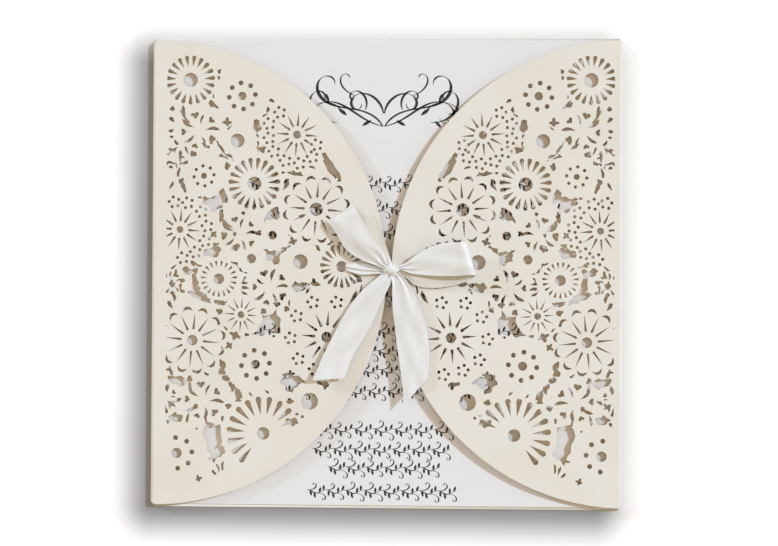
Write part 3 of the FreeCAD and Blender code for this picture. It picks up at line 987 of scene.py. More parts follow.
@dataclass(frozen=True)
class LinenCard:
    """Cool white card pressed with a linen grain."""

    pale: Colour = (236, 236, 237)
    deep: Colour = (231, 231, 233)
    ridges: float = 700.0
    slubs: float = 900.0

    def make(self) -> bpy.types.Material:
        """Soft ridges 0.45 mm apart, strong one way and faint the other, broken up by slubs.

        Returns:
            The material.
        """
        r = Recipe("linen_card")
        across = r.node("ShaderNodeTexWave", bands_direction="X")
        along = r.node("ShaderNodeTexWave", bands_direction="Y")
        for wave, waver in ((across, 6.0), (along, 3.5)):
            wave.inputs["Scale"].default_value = self.ridges
            wave.inputs["Distortion"].default_value = waver
            wave.inputs["Detail"].default_value = 2.0
            r.join(r.spot, wave.inputs["Vector"])
        slub = r.noise(self.slubs, 3.0, r.stretched((0.12, 1.0, 1.0)))
        faint = r.maths("MULTIPLY", across.outputs["Fac"], 0.25)
        grain = r.maths("ADD", r.maths("MULTIPLY", along.outputs["Fac"], 0.6), faint)
        height = r.maths("ADD", grain, r.maths("MULTIPLY", slub, 1.6))
        r.paint(height, self.deep, self.pale, 0.5, 0.95)
        r.bump(height, 0.03, 0.5)
        r.set(Roughness=0.62, Specular_IOR_Level=0.35)
        return r.material


@dataclass(frozen=True)
class Ink:
    """Matt black print."""

    pale: Colour = (66, 64, 64)
    deep: Colour = (44, 42, 42)
    tooth: float = 3500.0

    def make(self) -> bpy.types.Material:
        """Near black, a little lighter where the card's tooth shows through.

        Returns:
            The material.
        """
        r = Recipe("print_ink")
        r.paint(r.noise(self.tooth, 2.0), self.deep, self.pale, 0.45, 0.75)
        r.set(Roughness=0.6, Specular_IOR_Level=0.3)
        return r.material


@dataclass(frozen=True)
class Satin:
    """White satin: long glossy floats along the ribbon."""

    pale: Colour = (236, 236, 235)
    deep: Colour = (229, 229, 228)

    def make(self) -> bpy.types.Material:
        """Streaks a tenth of a millimetre wide and 4 mm long, on the strip's own map.

        Returns:
            The material.
        """
        r = Recipe("white_satin", Place.MAP)
        floats = r.noise(1.0, 3.0, r.stretched((9.0, 0.25, 1.0)))
        drift = r.noise(1.0, 2.0, r.stretched((0.35, 0.1, 1.0)))
        r.paint(r.maths("ADD", floats, drift), self.deep, self.pale, 0.7, 1.0)
        gloss = r.maths("MULTIPLY_ADD", floats, 0.14, 0.4)
        r.join(gloss, r.shader.inputs["Roughness"])
        r.bump(floats, 0.015, 0.4)
        r.set(Specular_IOR_Level=0.4, Sheen_Weight=0.08, Sheen_Roughness=0.4)
        return r.material


@dataclass(frozen=True)
class SatinBackPaintedShade:
    """Under side of the satin: dull, and a little darker and yellower than its face, a painted
    shade.
    """

    # Darker and yellower than the face: painted shade on the loops' lower runs.
    pale: Colour = (233, 229, 219)
    deep: Colour = (225, 220, 208)

    def make(self) -> bpy.types.Material:
        """Fine crosswise ribs a fifth of a millimetre apart, on the strip's own map.

        Returns:
            The material.
        """
        r = Recipe("satin_back_painted_shade", Place.MAP)
        ribs = r.noise(1.0, 2.0, r.stretched((0.6, 5.0, 1.0)))
        r.paint(ribs, self.deep, self.pale)
        r.bump(ribs, 0.02, 0.4)
        r.set(Roughness=0.7, Specular_IOR_Level=0.25, Sheen_Weight=0.1, Sheen_Roughness=0.5)
        return r.material


@dataclass(frozen=True)
class TableWithPaintedShade:
    """Table that is white to the eye, with a soft shade painted into its colour close to the
    card.
    """

    middle: Triple = (-4.4 * MM, -4.15 * MM, 0.0)  # of the part with painted shade
    half: Triple = (70.4 * MM, 70.35 * MM, 0.0)  # its half size
    painted_shade: float = 0.28  # how pale the painted shade leaves the table there
    painted_shade_reach: float = 15.0 * MM  # how far out the painted shade fades away
    skin: float = 0.2 * MM  # rays shorter than this lie between the card and the table
    seen: Triple = (1.12, 1.12, 1.13)  # its colour to the camera and in gloss
    thrown: Triple = (0.72, 0.72, 0.72)  # its colour to other light

    def make(self) -> bpy.types.Material:
        """Two colours: one for the camera and for gloss, one for the light that it throws back.

        The first falls to a painted contact shade by a smooth step over the distance from the
        part with painted shade: the length of what the folded place has beyond the half size.
        The table is clear from below and to what touches it, so that the sky lights the
        underside.

        Returns:
            The material.
        """
        r = Recipe("table_top_painted_shade")
        r.set(Roughness=0.9, Specular_IOR_Level=0.1)
        none = (0.0, 0.0, 0.0)
        # Painted shade: the colour that is seen falls smoothly towards the card, a contact shadow
        # painted into the table.
        folded = r.vector("ABSOLUTE", r.vector("SUBTRACT", r.spot, self.middle))
        beyond = r.vector("MAXIMUM", r.vector("SUBTRACT", folded, self.half), none)
        ramp = r.node("ShaderNodeMapRange", interpolation_type="SMOOTHSTEP")
        r.feed(ramp.inputs, r.vector("LENGTH", beyond), 0.0, self.painted_shade_reach, self.painted_shade, 1.0)
        path = r.node("ShaderNodeLightPath").outputs
        eye = r.maths("MAXIMUM", path["Is Camera Ray"], path["Is Glossy Ray"])
        white = r.blend(ramp.outputs["Result"], (*none, 1.0), (*self.seen, 1.0))
        r.join(r.blend(eye, (*self.thrown, 1.0), white), r.shader.inputs["Base Color"])
        touching = r.maths("LESS_THAN", path["Ray Length"], self.skin)
        side = r.node("ShaderNodeNewGeometry").outputs["Backfacing"]
        both = r.node("ShaderNodeMixShader")
        clear = r.node("ShaderNodeBsdfTransparent").outputs["BSDF"]
        r.feed(both.inputs, r.maths("MAXIMUM", side, touching), r.shader.outputs["BSDF"], clear)
        r.join(both.outputs[0], r.tree.nodes["Material Output"].inputs["Surface"])
        return r.material


# ---------------------------------------------------------------- sleeve


@dataclass
class Side:
    """One half of the sleeve: a flap, its crease and half of the back, from one flat sheet.

    On the sheet w runs from the crease's end across the flap, and is less than 0 in the
    crease and on the back, and v runs up the card.
    """

    start: float  # where the flap begins, from the lace circle's centre
    rise: float  # how far the flap stands open, in degrees
    mirrored: bool
    fold_x: float = 73.9
    fold_height: float = 1.1
    fold_radius: float = 0.925
    card: float = 0.35
    flap_radius: float = 74.2
    half_height: float = 75.0
    lift: float = 0.14  # how far the card's own waves stand from flat
    short_wave: float = 19.0  # run of these waves to a radian
    long_wave: float = 31.0
    lace: Lace = field(default_factory=Lace)

    @property
    def bend(self) -> float:
        """Length of card in the crease: its middle radius times the angle turned."""
        return self.fold_radius * math.radians(180.0 - self.rise)

    def edge(self, arc_points: int = 260, seam_points: int = 23) -> Outline:
        """Outline of the flat sheet: half the back, the crease, and the round flap.

        Args:
            arc_points: points round the flap.
            seam_points: points along the middle of the back.

        Returns:
            The outline.
        """
        top = self.half_height
        lean = 90.0 - math.degrees(math.asin(self.start / self.flap_radius))
        arc = polar((-self.start, 0.0), np.linspace(-lean, lean, arc_points), self.flap_radius)
        seam = np.full((seam_points, 2), -self.bend - self.fold_x)
        seam[:, 1] = np.linspace(top, -top, seam_points)
        return np.concatenate([[[-self.bend, -top]], arc, [[-self.bend, top]], seam])

    def fold_lines(self, folds: int = 10, short: float = 1.6, beside: float = 66.0) -> list[Grid]:
        """Straight lines that no triangle crosses: across the crease, and beside the lace.

        Args:
            folds: how many parts the crease is bent in.
            short: how far its lines end from the card's edge.
            beside: half length of the line beside the lace.

        Returns:
            Two ends for each line.
        """
        high = self.half_height - short
        lines = [[(w, -high), (w, high)] for w in -self.bend * np.arange(folds + 1) / folds]
        border = self.lace.border - self.start - self.lace.centre
        return [np.array(line) for line in [*lines, [(border, -beside), (border, beside)]]]

    def filling(self, edge: Outline, fine: float = 3.0, coarse: float = 9.0) -> list[Grid]:
        """Loose points that keep the triangles small.

        Args:
            edge: outline of the sheet.
            fine: distance between them on the flap.
            coarse: distance between them on the back.

        Returns:
            Points of the flap, and points of the back.
        """
        w, v = np.meshgrid(np.arange(fine, 74.0, fine), np.arange(-72.0, 73.0, fine))
        flap = np.stack([w.ravel(), v.ravel()], axis=1)
        w, v = np.meshgrid(np.arange(6.0, 73.0, coarse), np.arange(-66.0, 67.0, coarse))
        return [flap[inside(flap, edge)], np.stack([-self.bend - w.ravel(), v.ravel()], axis=1)]

    def triangles(self, snap: float = 1e-5, sliver: float = 1e-8) -> tuple[Grid, Grid]:
        """Triangulates the flat sheet along every cut, and leaves the openings out.

        A flower's own rim is followed only where it crosses a gap.

        Args:
            snap: distance at which two points become one.
            sliver: area under which a triangle is dropped.

        Returns:
            Sheet positions, and triangles between them that keep to the card.
        """
        shift = np.array([self.start + self.lace.centre, 0.0])
        gaps, edge = self.lace.gaps(), self.edge()
        rings = [(edge, None)] + [(o - shift, None) for o in self.lace.cuts() + gaps]
        rings += [(o - shift, inside_any(o, gaps)) for o in self.lace.kept()]
        points, links, count = [], [], 0
        for ring, near in rings:
            index = count + np.arange(len(ring))
            pair = np.stack([index, np.roll(index, -1)], axis=1)
            points.append(ring)
            links.append(pair if near is None else pair[near | np.roll(near, -1)])
            count += len(ring)
        for line in self.fold_lines():
            points.append(line)
            links.append(np.array([[count, count + 1]]))
            count += 2
        points += self.filling(edge)
        made = delaunay_2d_cdt(
            [Vector(p) for p in np.concatenate(points).tolist()],
            np.concatenate(links).tolist(), [], 0, snap,
        )
        sheet = np.array([tuple(p) for p in made[0]])
        tri = np.array([f for f in made[2] if len(f) == 3])
        middle = sheet[tri].mean(axis=1)
        area = np.cross(sheet[tri[:, 1]] - sheet[tri[:, 0]], sheet[tri[:, 2]] - sheet[tri[:, 0]])
        tri[area < 0] = tri[area < 0][:, ::-1]
        keep = inside(middle, edge) & (np.abs(area) > sliver)
        keep &= ~(self.lace.open_at(middle + shift) & (middle[:, 0] > 0.0))
        return sheet, tri[keep]

    def bent(self, sheet: Grid) -> tuple[Grid, Grid]:
        """Folds the sheet.

        The back lies flat at half the card's thickness. Round the crease a point stands at
        the middle radius from the fold's axis, at an angle that falls with its distance. The
        flap runs straight on from there at its rise, and slow waves lift it a little: half a
        sine across times a cosine along, and a sine along that grows with the square across.

        Args:
            sheet: places on the flat sheet.

        Returns:
            Middle surface and its outward normals, in millimetres.
        """
        w, v = sheet[:, 0], sheet[:, 1]
        turn = np.radians(90.0 + self.rise) + np.clip(-w, 0.0, self.bend) / self.fold_radius
        out = np.stack([np.cos(turn), np.zeros(len(w)), np.sin(turn)], axis=1)
        place = out * self.fold_radius
        place[:, 0] -= self.fold_x
        place[:, 1] = v
        place[:, 2] += self.fold_height
        lean = math.radians(self.rise)
        on_flap, on_back = np.clip(w, 0.0, None), np.clip(-w - self.bend, 0.0, None)
        place[:, 0] += on_flap * math.cos(lean) + on_back
        place[:, 2] += on_flap * math.sin(lean)
        share = np.clip(w / self.flap_radius, 0.0, 1.0)
        wave = np.sin(math.pi * share) * np.cos(v / self.short_wave + self.start)
        wave += 1.3 * share**2 * np.sin(v / self.long_wave + 1.0 + self.start)
        place[:, 2] += self.lift * wave
        return place, out

    def solid(self) -> tuple[Grid, Grid, Grid]:
        """Gives the bent sheet its thickness.

        Returns:
            Points, faces of three or four corners padded with -1, and a finish for each face.
        """
        sheet, tri = self.triangles()
        used, tri = np.unique(tri, return_inverse=True)
        tri = tri.reshape(-1, 3)
        sheet = sheet[used]
        place, out = self.bent(sheet)
        n = len(sheet)
        points = np.concatenate([place + out * self.card / 2, place - out * self.card / 2])
        pair = np.concatenate([tri[:, [0, 1]], tri[:, [1, 2]], tri[:, [2, 0]]])
        code, back = pair[:, 0] * n + pair[:, 1], pair[:, 1] * n + pair[:, 0]
        rim = pair[~np.isin(code, back)]
        seam = sheet[rim, 0].max(axis=1) < -self.bend - self.fold_x + 1e-6
        rim = rim[~seam]
        walls = np.stack([rim[:, 0] + n, rim[:, 1] + n, rim[:, 1], rim[:, 0]], axis=1)
        pad = np.full((len(tri), 1), -1)
        faces = np.concatenate(
            [np.hstack([tri, pad]), np.hstack([tri[:, ::-1] + n, pad]), walls]
        )
        smoked = sheet[tri, 0].mean(axis=1) > 0.0
        browned = sheet[rim, 0].mean(axis=1) > -0.5
        kinds = np.concatenate([np.zeros(len(tri)), smoked * 2, browned * 1])
        if self.mirrored:
            points[:, 0] *= -1
            three = faces[:, 3] < 0
            faces[three, :3] = faces[three, :3][:, ::-1]
            faces[~three] = faces[~three][:, ::-1]
        return points, faces, kinds


@dataclass
class Sleeve:
    """Folded card sleeve with two lace flaps."""

    left: Side = field(default_factory=lambda: Side(start=0.1, rise=0.5, mirrored=False))
    right: Side = field(default_factory=lambda: Side(start=2.1, rise=0.9, mirrored=True))

    @staticmethod
    def welded(points: Grid, faces: Grid, near: float = 1e-6) -> tuple[Grid, list[list[int]]]:
        """Joins vertices that share a place on the middle plane, and drops unused ones.

        Args:
            points: vertices in millimetres.
            faces: vertex numbers, padded with -1.
            near: distance from the plane within which a vertex may be joined.

        Returns:
            The vertices that are left, and the vertex numbers of each face.
        """
        seam = np.nonzero(np.abs(points[:, 0]) < near)[0]
        key = np.round(points[seam] * 1e4).astype(np.int64)
        _, first, same = np.unique(key, axis=0, return_index=True, return_inverse=True)
        weld = np.arange(len(points))
        weld[seam] = seam[first][same.ravel()]
        faces = np.where(faces < 0, -1, weld[faces])
        used = np.unique(faces[faces >= 0])
        number = np.zeros(len(points), int)
        number[used] = np.arange(len(used))
        return points[used], [[int(number[i]) for i in f if i >= 0] for f in faces.tolist()]

    def build(self) -> bpy.types.Object:
        """Builds both halves and welds them along the middle of the back.

        Returns:
            The dressed sleeve.
        """
        points_a, faces_a, kinds_a = self.left.solid()
        points_b, faces_b, kinds_b = self.right.solid()
        faces_b = np.where(faces_b < 0, -1, faces_b + len(points_a))
        points, faces = self.welded(
            np.concatenate([points_a, points_b]), np.concatenate([faces_a, faces_b])
        )
        kinds = np.concatenate([kinds_a, kinds_b])
        made = make_object("sleeve_lace", points, faces, kinds=kinds, smooth=35.0)
        for finish in (PearlCard(), ToastedEdge(), SmokedBack()):
            made.data.materials.append(finish.make())
        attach(made, "root")
        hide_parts("sleeve")
        LOG.info("sleeve: %d faces", len(faces))
        return made


# ---------------------------------------------------------------- insert


@dataclass(frozen=True)
class Stroke:
    """A pen stroke: a spiral of falling and rising curvature, thick where it runs down."""

    x: float
    y: float
    heading: float  # degrees at the start
    length: float
    turn_in: float  # degrees turned near the start
    turn_out: float  # degrees turned near the end
    thin: float = 0.16
    thick: float = 0.62
    pen_angle: float = 0.35  # radians past level at which the pen is thinnest

    def line(self, count: int) -> tuple[Grid, Grid]:
        """Middle line: the heading turns by two powers of the share run, and the line sums it.

        Args:
            count: points along it.

        Returns:
            The points, and the heading at each in radians.
        """
        s = np.linspace(0.0, 1.0, count)
        turned = self.turn_in * (1 - (1 - s) ** 3.2) + self.turn_out * s**3.2
        head = np.radians(self.heading + turned)
        step = self.length / (count - 1)
        x = self.x + np.concatenate([[0.0], np.cumsum(np.cos(head[:-1]))]) * step
        y = self.y + np.concatenate([[0.0], np.cumsum(np.sin(head[:-1]))]) * step
        return np.stack([x, y], axis=1), head

    def strip(self, mirror_x: float | None = None, count: int = 70) -> Grid:
        """Two edges either side of the line, apart by the pen's width at that heading.

        Args:
            mirror_x: where the stroke is mirrored, or None.
            count: points along it.

        Returns:
            Rows of two points.
        """
        line, head = self.line(count)
        s = np.linspace(0.0, 1.0, len(line))
        press = np.abs(np.sin(head + self.pen_angle)) ** 1.6
        press *= np.sin(np.pi * np.clip(s, 0.02, 0.98)) ** 0.5
        half = (self.thin + (self.thick - self.thin) * press) / 2 * np.minimum(1, 12 * (1.02 - s))
        side = np.stack([-np.sin(head), np.cos(head)], axis=1) * half[:, None]
        rows = np.stack([line - side, line + side], axis=1)
        return rows if mirror_x is None else mirrored(rows, mirror_x)


def mirrored(rows: Grid, x: float) -> Grid:
    """Rows of two points mirrored, with their sides changed over to face the same way.

    Args:
        rows: the two edges of a strip.
        x: where they are mirrored.

    Returns:
        The mirrored rows.
    """
    turned = rows[:, ::-1].copy()
    turned[..., 0] = 2 * x - turned[..., 0]
    return turned


@dataclass
class InsertPrint:
    """Linen insert with a printed flourish and rows of vine scroll in place of wording."""

    height: float = 0.75  # top of the insert
    clearance: float = 0.005  # between the card and the ink
    film: float = 0.02  # thickness of the ink
    middle: float = -1.0
    title_y: float = 52.0
    period: float = 6.0  # of the vine, as near as its row allows
    swing: float = 0.55  # of the vine's stem
    rows: tuple[Triple, ...] = (  # height and both ends of each row
        (28.4, -44.0, 47.4), (20.4, -53.7, 55.4), (12.7, -44.0, 47.4), (-1.4, -48.9, 50.6),
        (-7.9, -40.0, 42.0), (-18.8, -44.0, 44.0), (-25.2, -38.0, 38.0), (-31.3, -44.0, 40.0),
        (-38.0, -36.0, 36.2), (-50.2, -23.2, 21.7), (-56.6, -23.2, 20.8), (-62.4, -18.4, 17.5),
        (-69.8, -24.8, 22.7),
    )

    def flourish(self) -> list[Grid]:
        """Title ornament: scrolls and leaves, and the same mirrored at the middle.

        Returns:
            A strip for each stroke.
        """
        strokes = (  # x and y from the title's middle, heading, length, both turns, thickness
            (0.3, -5.2, 62.0, 36.0, -86.0, 318.0, 1.15),
            (0.5, -5.0, 12.0, 33.0, 42.0, -318.0, 0.95),
            (0.2, -1.0, 84.0, 21.0, -64.0, -318.0, 1.05),
            (14.0, 0.4, 48.0, 20.0, -70.0, -280.0, 0.85),
            (15.0, -3.8, -6.0, 22.0, 58.0, 300.0, 0.85),
            (20.5, -1.2, 8.0, 13.0, 34.0, -250.0, 0.6),
            (6.0, 0.2, 118.0, 13.0, -70.0, -270.0, 0.8),
            (9.5, 4.8, 20.0, 12.0, 30.0, 250.0, 0.55),
        )
        leaves = (  # x and y from the title's middle, angle, length, half width
            (11.8, -1.6, 38.0, 3.6, 0.55), (17.6, 2.6, 70.0, 3.0, 0.45),
            (16.4, -3.4, -48.0, 2.8, 0.45), (4.0, -3.2, -30.0, 3.4, 0.5),
        )
        m, y = self.middle, self.title_y
        scrolls = [Stroke(m + u, y + v, *form, thick=thick) for u, v, *form, thick in strokes]
        grown = [self.leaf(m + u, y + v, *form) for u, v, *form in leaves]
        right, left = [s.strip() for s in scrolls], [s.strip(m) for s in scrolls]
        return right + left + grown + [mirrored(leaf, m) for leaf in grown]

    def vine(self, y: float, start: float, stop: float) -> list[Grid]:
        """Row of vine: a cosine stem, a tendril at each crest and trough, and leaves between.

        Args:
            y: height of the row.
            start: its left end.
            stop: its right end.

        Returns:
            A strip for each stroke.
        """
        count = max(3, round((stop - start) / self.period))
        period = (stop - start) / count
        x = np.linspace(start, stop, count * 14)
        phase = 2 * np.pi * (x - start) / period
        line = np.stack([x, y + self.swing * np.cos(phase)], axis=1)
        tangent = np.gradient(line, axis=0)
        tangent /= np.linalg.norm(tangent, axis=1, keepdims=True)
        half = 0.07 + 0.12 * np.abs(np.sin(phase / 2 + 0.4)) ** 3
        side = np.stack([-tangent[:, 1], tangent[:, 0]], axis=1) * half[:, None]
        made = [np.stack([line - side, line + side], axis=1)]
        for k in range(count):
            at = start + k * period
            grown = 5.6 + 0.8 * math.cos(1.7 * k + 0.6 * y)
            for up, begin in ((1.0, at + 0.3), (-1.0, at + 0.3 + period / 2)):
                turns = -5.0 * up, grown, 35.0 * up, 330.0 * up
                curl = Stroke(begin, y + self.swing * up, *turns, thin=0.13, thick=0.46)
                made.append(curl.strip(count=26))
            for share, turn in ((0.14, -80.0), (0.36, -75.0), (0.64, 80.0), (0.86, 75.0)):
                leaf_y = y + self.swing * math.cos(2 * math.pi * share)
                sway = 8.0 * math.sin(3.1 * k + 9.0 * share)
                made.append(self.leaf(at + share * period, leaf_y, turn + sway, 1.8, 0.36))
        return made

    @staticmethod
    def leaf(x: float, y: float, angle: float, length: float, half: float) -> Grid:
        """Pointed leaf: half a sine of the length either side of a straight rib.

        Args:
            x: foot of the leaf.
            y: foot of the leaf.
            angle: where it points, in degrees.
            length: length of its rib.
            half: half its width.

        Returns:
            Rows of two points.
        """
        t = np.linspace(0.0, 1.0, 7)
        wide = half * np.sin(np.pi * t) ** 0.8 + 0.02
        upper = set_on_ray((x, y), angle, t * length, wide)
        lower = set_on_ray((x, y), angle, t * length, -wide)
        return np.stack([lower, upper], axis=1)

    def build(self) -> bpy.types.Object:
        """Dresses the insert's card and lays the ink on it.

        Returns:
            The print.
        """
        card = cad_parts["insert_card"]
        material = LinenCard().make()
        for slot in card.material_slots:
            slot.link = "OBJECT"
            slot.material = material
        ink = Cloth()
        strips = self.flourish()
        for y, start, stop in self.rows:
            strips += self.vine(y, start, stop)
        for strip in strips:
            level = np.full((*strip.shape[:2], 1), self.height + self.film / 2 + self.clearance)
            ink.add(np.concatenate([strip, level], axis=2), self.film, 1.0)
        made = ink.build("insert_print", None)
        made.data.materials.append(Ink().make())
        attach(made, "root")
        LOG.info("print: %d strokes", len(strips))
        return made


# ---------------------------------------------------------------- bow


@dataclass
class SatinBow:
    """Satin ribbon: two loops, two tails, a knot, and the run that ties the flaps together."""

    width: float = 10.0
    length: float = 270.0
    thickness: float = 0.22
    columns: int = 49
    dent: float = 0.3  # depth of the slow dents in the open parts
    knot_middle: Triple = (1.95, 0.95, 4.1)
    knot_lean: float = -24.0  # degrees from +X

    def strip(
        self, stations: Sequence[Sequence[float]], rows: int, pleats: float, phase: float,
        crown: float = 0.38, depth: float = 0.42,
    ) -> Grid:
        """Surface of a stretch of ribbon.

        A straight line joins its two edges. Where they are nearer than the ribbon's width,
        the spare width goes into pleats: a sine across, whose depth is the side of a right
        triangle on the true width and the room that there is. A crown, half a sine across,
        rounds the open part, and a slow slanting wave dents it softly.

        Args:
            stations: left x, y, right x, y, left z, right z along the strip.
            rows: rows along the strip.
            pleats: how many pleats lie across it.
            phase: where the first pleat stands, in turns.
            crown: rise of the middle over the edges.
            depth: share of the full pleat depth.

        Returns:
            Grid of points.
        """
        line = smooth_path(stations, rows)
        s = np.linspace(0.0, 1.0, self.columns)[None, :]
        left, right = line[:, None, [0, 1, 4]], line[:, None, [2, 3, 5]]
        flat = left + (right - left) * s[..., None]
        room = np.linalg.norm(line[:, 2:4] - line[:, :2], axis=1)[:, None]
        spare = np.sqrt(np.clip(self.width**2 - room**2, 0.0, None))
        deep = depth * spare / (4 * pleats) * np.clip(spare / self.width, 0, 1) ** 4
        t = np.linspace(0.0, 1.0, rows)[:, None]
        bend = s + 0.05 * np.sin(2 * np.pi * s + 5 * t + phase)
        wave = np.sin(2 * np.pi * (pleats * bend + phase + 0.25 * t))
        wave += 0.25 * np.sin(2 * np.pi * (1.7 * pleats * bend + 2 * phase))
        open_share = np.clip(room / self.width, 0, 1) * np.sin(np.pi * s)
        dent = np.sin(2 * np.pi * (0.75 * s + 2.3 * t + phase)) + 0.5 * np.sin(9 * s - 13 * t)
        flat[..., 2] += deep * wave + (crown + self.dent * dent) * open_share
        return flat

    def left_loop(self) -> Grid:
        """Out along the top, round the far fold, and back underneath.

        Returns:
            Grid of points.
        """
        return self.strip([
            (0.9, 0.5, 2.5, 1.9, 5.0, 5.2), (-1.8, 1.9, 0.5, 3.4, 5.2, 5.8),
            (-5.6, 3.3, -0.6, 6.6, 5.1, 6.6), (-9.9, 5.3, -2.9, 9.4, 5.1, 6.9),
            (-13.0, 7.9, -4.9, 12.2, 5.1, 6.8), (-15.5, 12.1, -7.2, 16.2, 5.1, 6.5),
            (-17.9, 15.4, -9.4, 19.8, 5.0, 6.2), (-18.9, 16.3, -10.3, 21.0, 4.5, 5.0),
            (-17.6, 16.0, -8.4, 20.6, 3.8, 4.0), (-13.0, 11.8, -3.9, 17.2, 3.5, 3.7),
            (-7.6, 6.6, -0.9, 11.4, 3.5, 3.8), (-3.4, 3.4, 0.9, 6.2, 3.7, 4.0),
            (0.9, 1.0, 2.3, 2.1, 4.0, 4.2),
        ], 170, 2.6, 0.15)

    def right_loop(self) -> Grid:
        """Out along the top, round the far fold, and back underneath, lower on the table side.

        Returns:
            Grid of points.
        """
        return self.strip([
            (2.0, 2.0, 1.8, 0.3, 5.2, 5.0), (5.5, 2.7, 4.4, 0.9, 5.5, 5.2),
            (9.4, 5.6, 8.5, -0.2, 5.9, 5.4), (13.2, 7.8, 13.0, -0.7, 6.2, 5.6),
            (17.5, 9.3, 17.6, -0.9, 6.6, 6.0), (21.4, 9.75, 22.8, -0.8, 7.0, 6.5),
            (24.4, 9.7, 27.4, -0.5, 7.2, 6.8), (25.4, 9.7, 28.5, -0.6, 6.4, 6.0),
            (24.8, 9.1, 27.8, -1.3, 5.2, 4.9), (22.2, 7.2, 24.8, -2.9, 4.4, 4.2),
            (18.4, 5.7, 19.2, -4.3, 4.1, 3.9), (13.2, 4.7, 13.2, -4.6, 4.0, 3.8),
            (9.0, 3.5, 9.4, -3.8, 4.1, 3.9), (5.2, 2.1, 6.2, -1.2, 4.3, 4.2),
            (2.0, 1.6, 1.9, 0.4, 4.4, 4.3),
        ], 180, 2.4, 0.6)

    def left_tail(self) -> Grid:
        """From the knot down over the left flap; its end lifts a little.

        Returns:
            Grid of points.
        """
        return self.strip([
            (1.0, 1.3, 2.6, 0.2, 4.4, 4.5), (-2.2, -1.1, 1.7, -2.9, 4.6, 4.9),
            (-6.5, -4.6, -0.4, -7.4, 4.2, 4.7), (-10.8, -9.7, -2.6, -12.2, 4.0, 4.3),
            (-13.8, -14.5, -4.6, -16.6, 4.0, 4.0), (-16.4, -19.6, -6.6, -20.2, 4.1, 3.8),
            (-19.4, -25.6, -9.6, -25.0, 4.4, 3.9), (-23.0, -34.2, -13.0, -33.5, 4.9, 4.5),
        ], 110, 2.2, 0.4, crown=0.25)

    def right_tail(self) -> Grid:
        """From the knot down over the gap and the right flap to a slanting cut.

        Returns:
            Grid of points.
        """
        return self.strip([
            (1.3, 0.7, 2.9, 1.3, 4.4, 4.4), (2.0, -2.4, 5.4, -0.9, 4.8, 5.0),
            (2.1, -6.7, 9.0, -6.3, 4.5, 4.9), (2.3, -11.9, 11.2, -11.7, 4.3, 4.6),
            (2.9, -16.2, 12.8, -16.5, 4.2, 4.3), (3.6, -22.6, 13.8, -23.2, 4.1, 4.1),
            (4.6, -29.1, 13.95, -28.6, 4.1, 4.0), (5.5, -36.0, 13.75, -31.2, 4.2, 4.1),
            (6.05, -41.8, 13.35, -33.4, 4.3, 4.3),
        ], 120, 2.0, 0.1, crown=0.25)

    def tie_run(self) -> Grid:
        """From the knot to the left eye, under both flaps, up the right eye and back.

        Stations are a middle, half a width and a height; the edges stand either side in y.

        Returns:
            Grid of points.
        """
        rows = [
            (2.4, 0.9, 1.2, 4.4), (-2.5, 0.9, 1.1, 4.0), (-8.0, 1.3, 1.8, 3.6),
            (-11.2, 1.8, 1.5, 3.55), (-12.4, 2.0, 1.3, 3.2), (-12.9, 2.0, 1.2, 2.5),
            (-12.6, 2.0, 1.3, 1.65), (-10.6, 2.0, 2.4, 1.3), (0.0, 1.6, 3.8, 1.2),
            (12.6, 2.0, 2.4, 1.3), (16.2, 2.0, 1.4, 1.75), (16.7, 2.0, 1.35, 2.9),
            (16.1, 2.0, 1.45, 3.6), (13.0, 1.8, 1.6, 3.75), (8.0, 1.3, 1.6, 3.7),
            (2.6, 0.9, 1.2, 4.2),
        ]
        line = [(x, y + h, x, y - h, z, z) for x, y, h, z in rows]
        return self.strip(line, 200, 2.0, 0.3, crown=0.14, depth=0.32)

    def knot(self, rows: int = 60) -> Grid:
        """Band over the knot: an ellipse through the height, waisted at the top, with ridges.

        Across it, a cosine of three ridges stands out from the ellipse, and a fourth power
        draws its edges in.

        Args:
            rows: rows round the ellipse.

        Returns:
            Grid of points.
        """
        turn = np.radians(np.linspace(-35.0, 215.0, rows))[:, None]
        s = np.linspace(-1.0, 1.0, self.columns)[None, :]
        half = 1.75 + 0.55 * np.cos(turn) ** 2
        ridge = 0.1 * np.cos(3.3 * np.pi * s + 0.9 * np.sin(turn)) - 0.45 * s**4
        y = (1.8 + ridge) * np.cos(turn)
        x = half * s + 0.25 * np.sin(2 * turn)
        lean = math.radians(self.knot_lean)
        mx, my, mz = self.knot_middle
        return np.stack([
            mx + x * math.cos(lean) - y * math.sin(lean),
            my + x * math.sin(lean) + y * math.cos(lean),
            mz + (1.95 + ridge) * np.sin(turn),
        ], axis=-1)

    def build(self) -> bpy.types.Object:
        """Joins every stretch in one piece of satin.

        Returns:
            The dressed bow.
        """
        cloth = Cloth()
        for surface in (self.tie_run(), self.left_tail(), self.right_tail(), self.knot()):
            cloth.add(surface, self.thickness, self.width)
        for surface in (self.left_loop(), self.right_loop()):
            cloth.add(surface[:, ::-1], self.thickness, self.width)  # the dull side lies within
        made = cloth.build("satin_bow")
        # The second finish is the satin's back, whose colour carries a painted shade.
        for finish in (Satin(), SatinBackPaintedShade()):
            made.data.materials.append(finish.make())
        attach(made, "root")
        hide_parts("ribbon")
        LOG.info("bow: %d faces", len(made.data.polygons))
        return made


# ---------------------------------------------------------------- studio


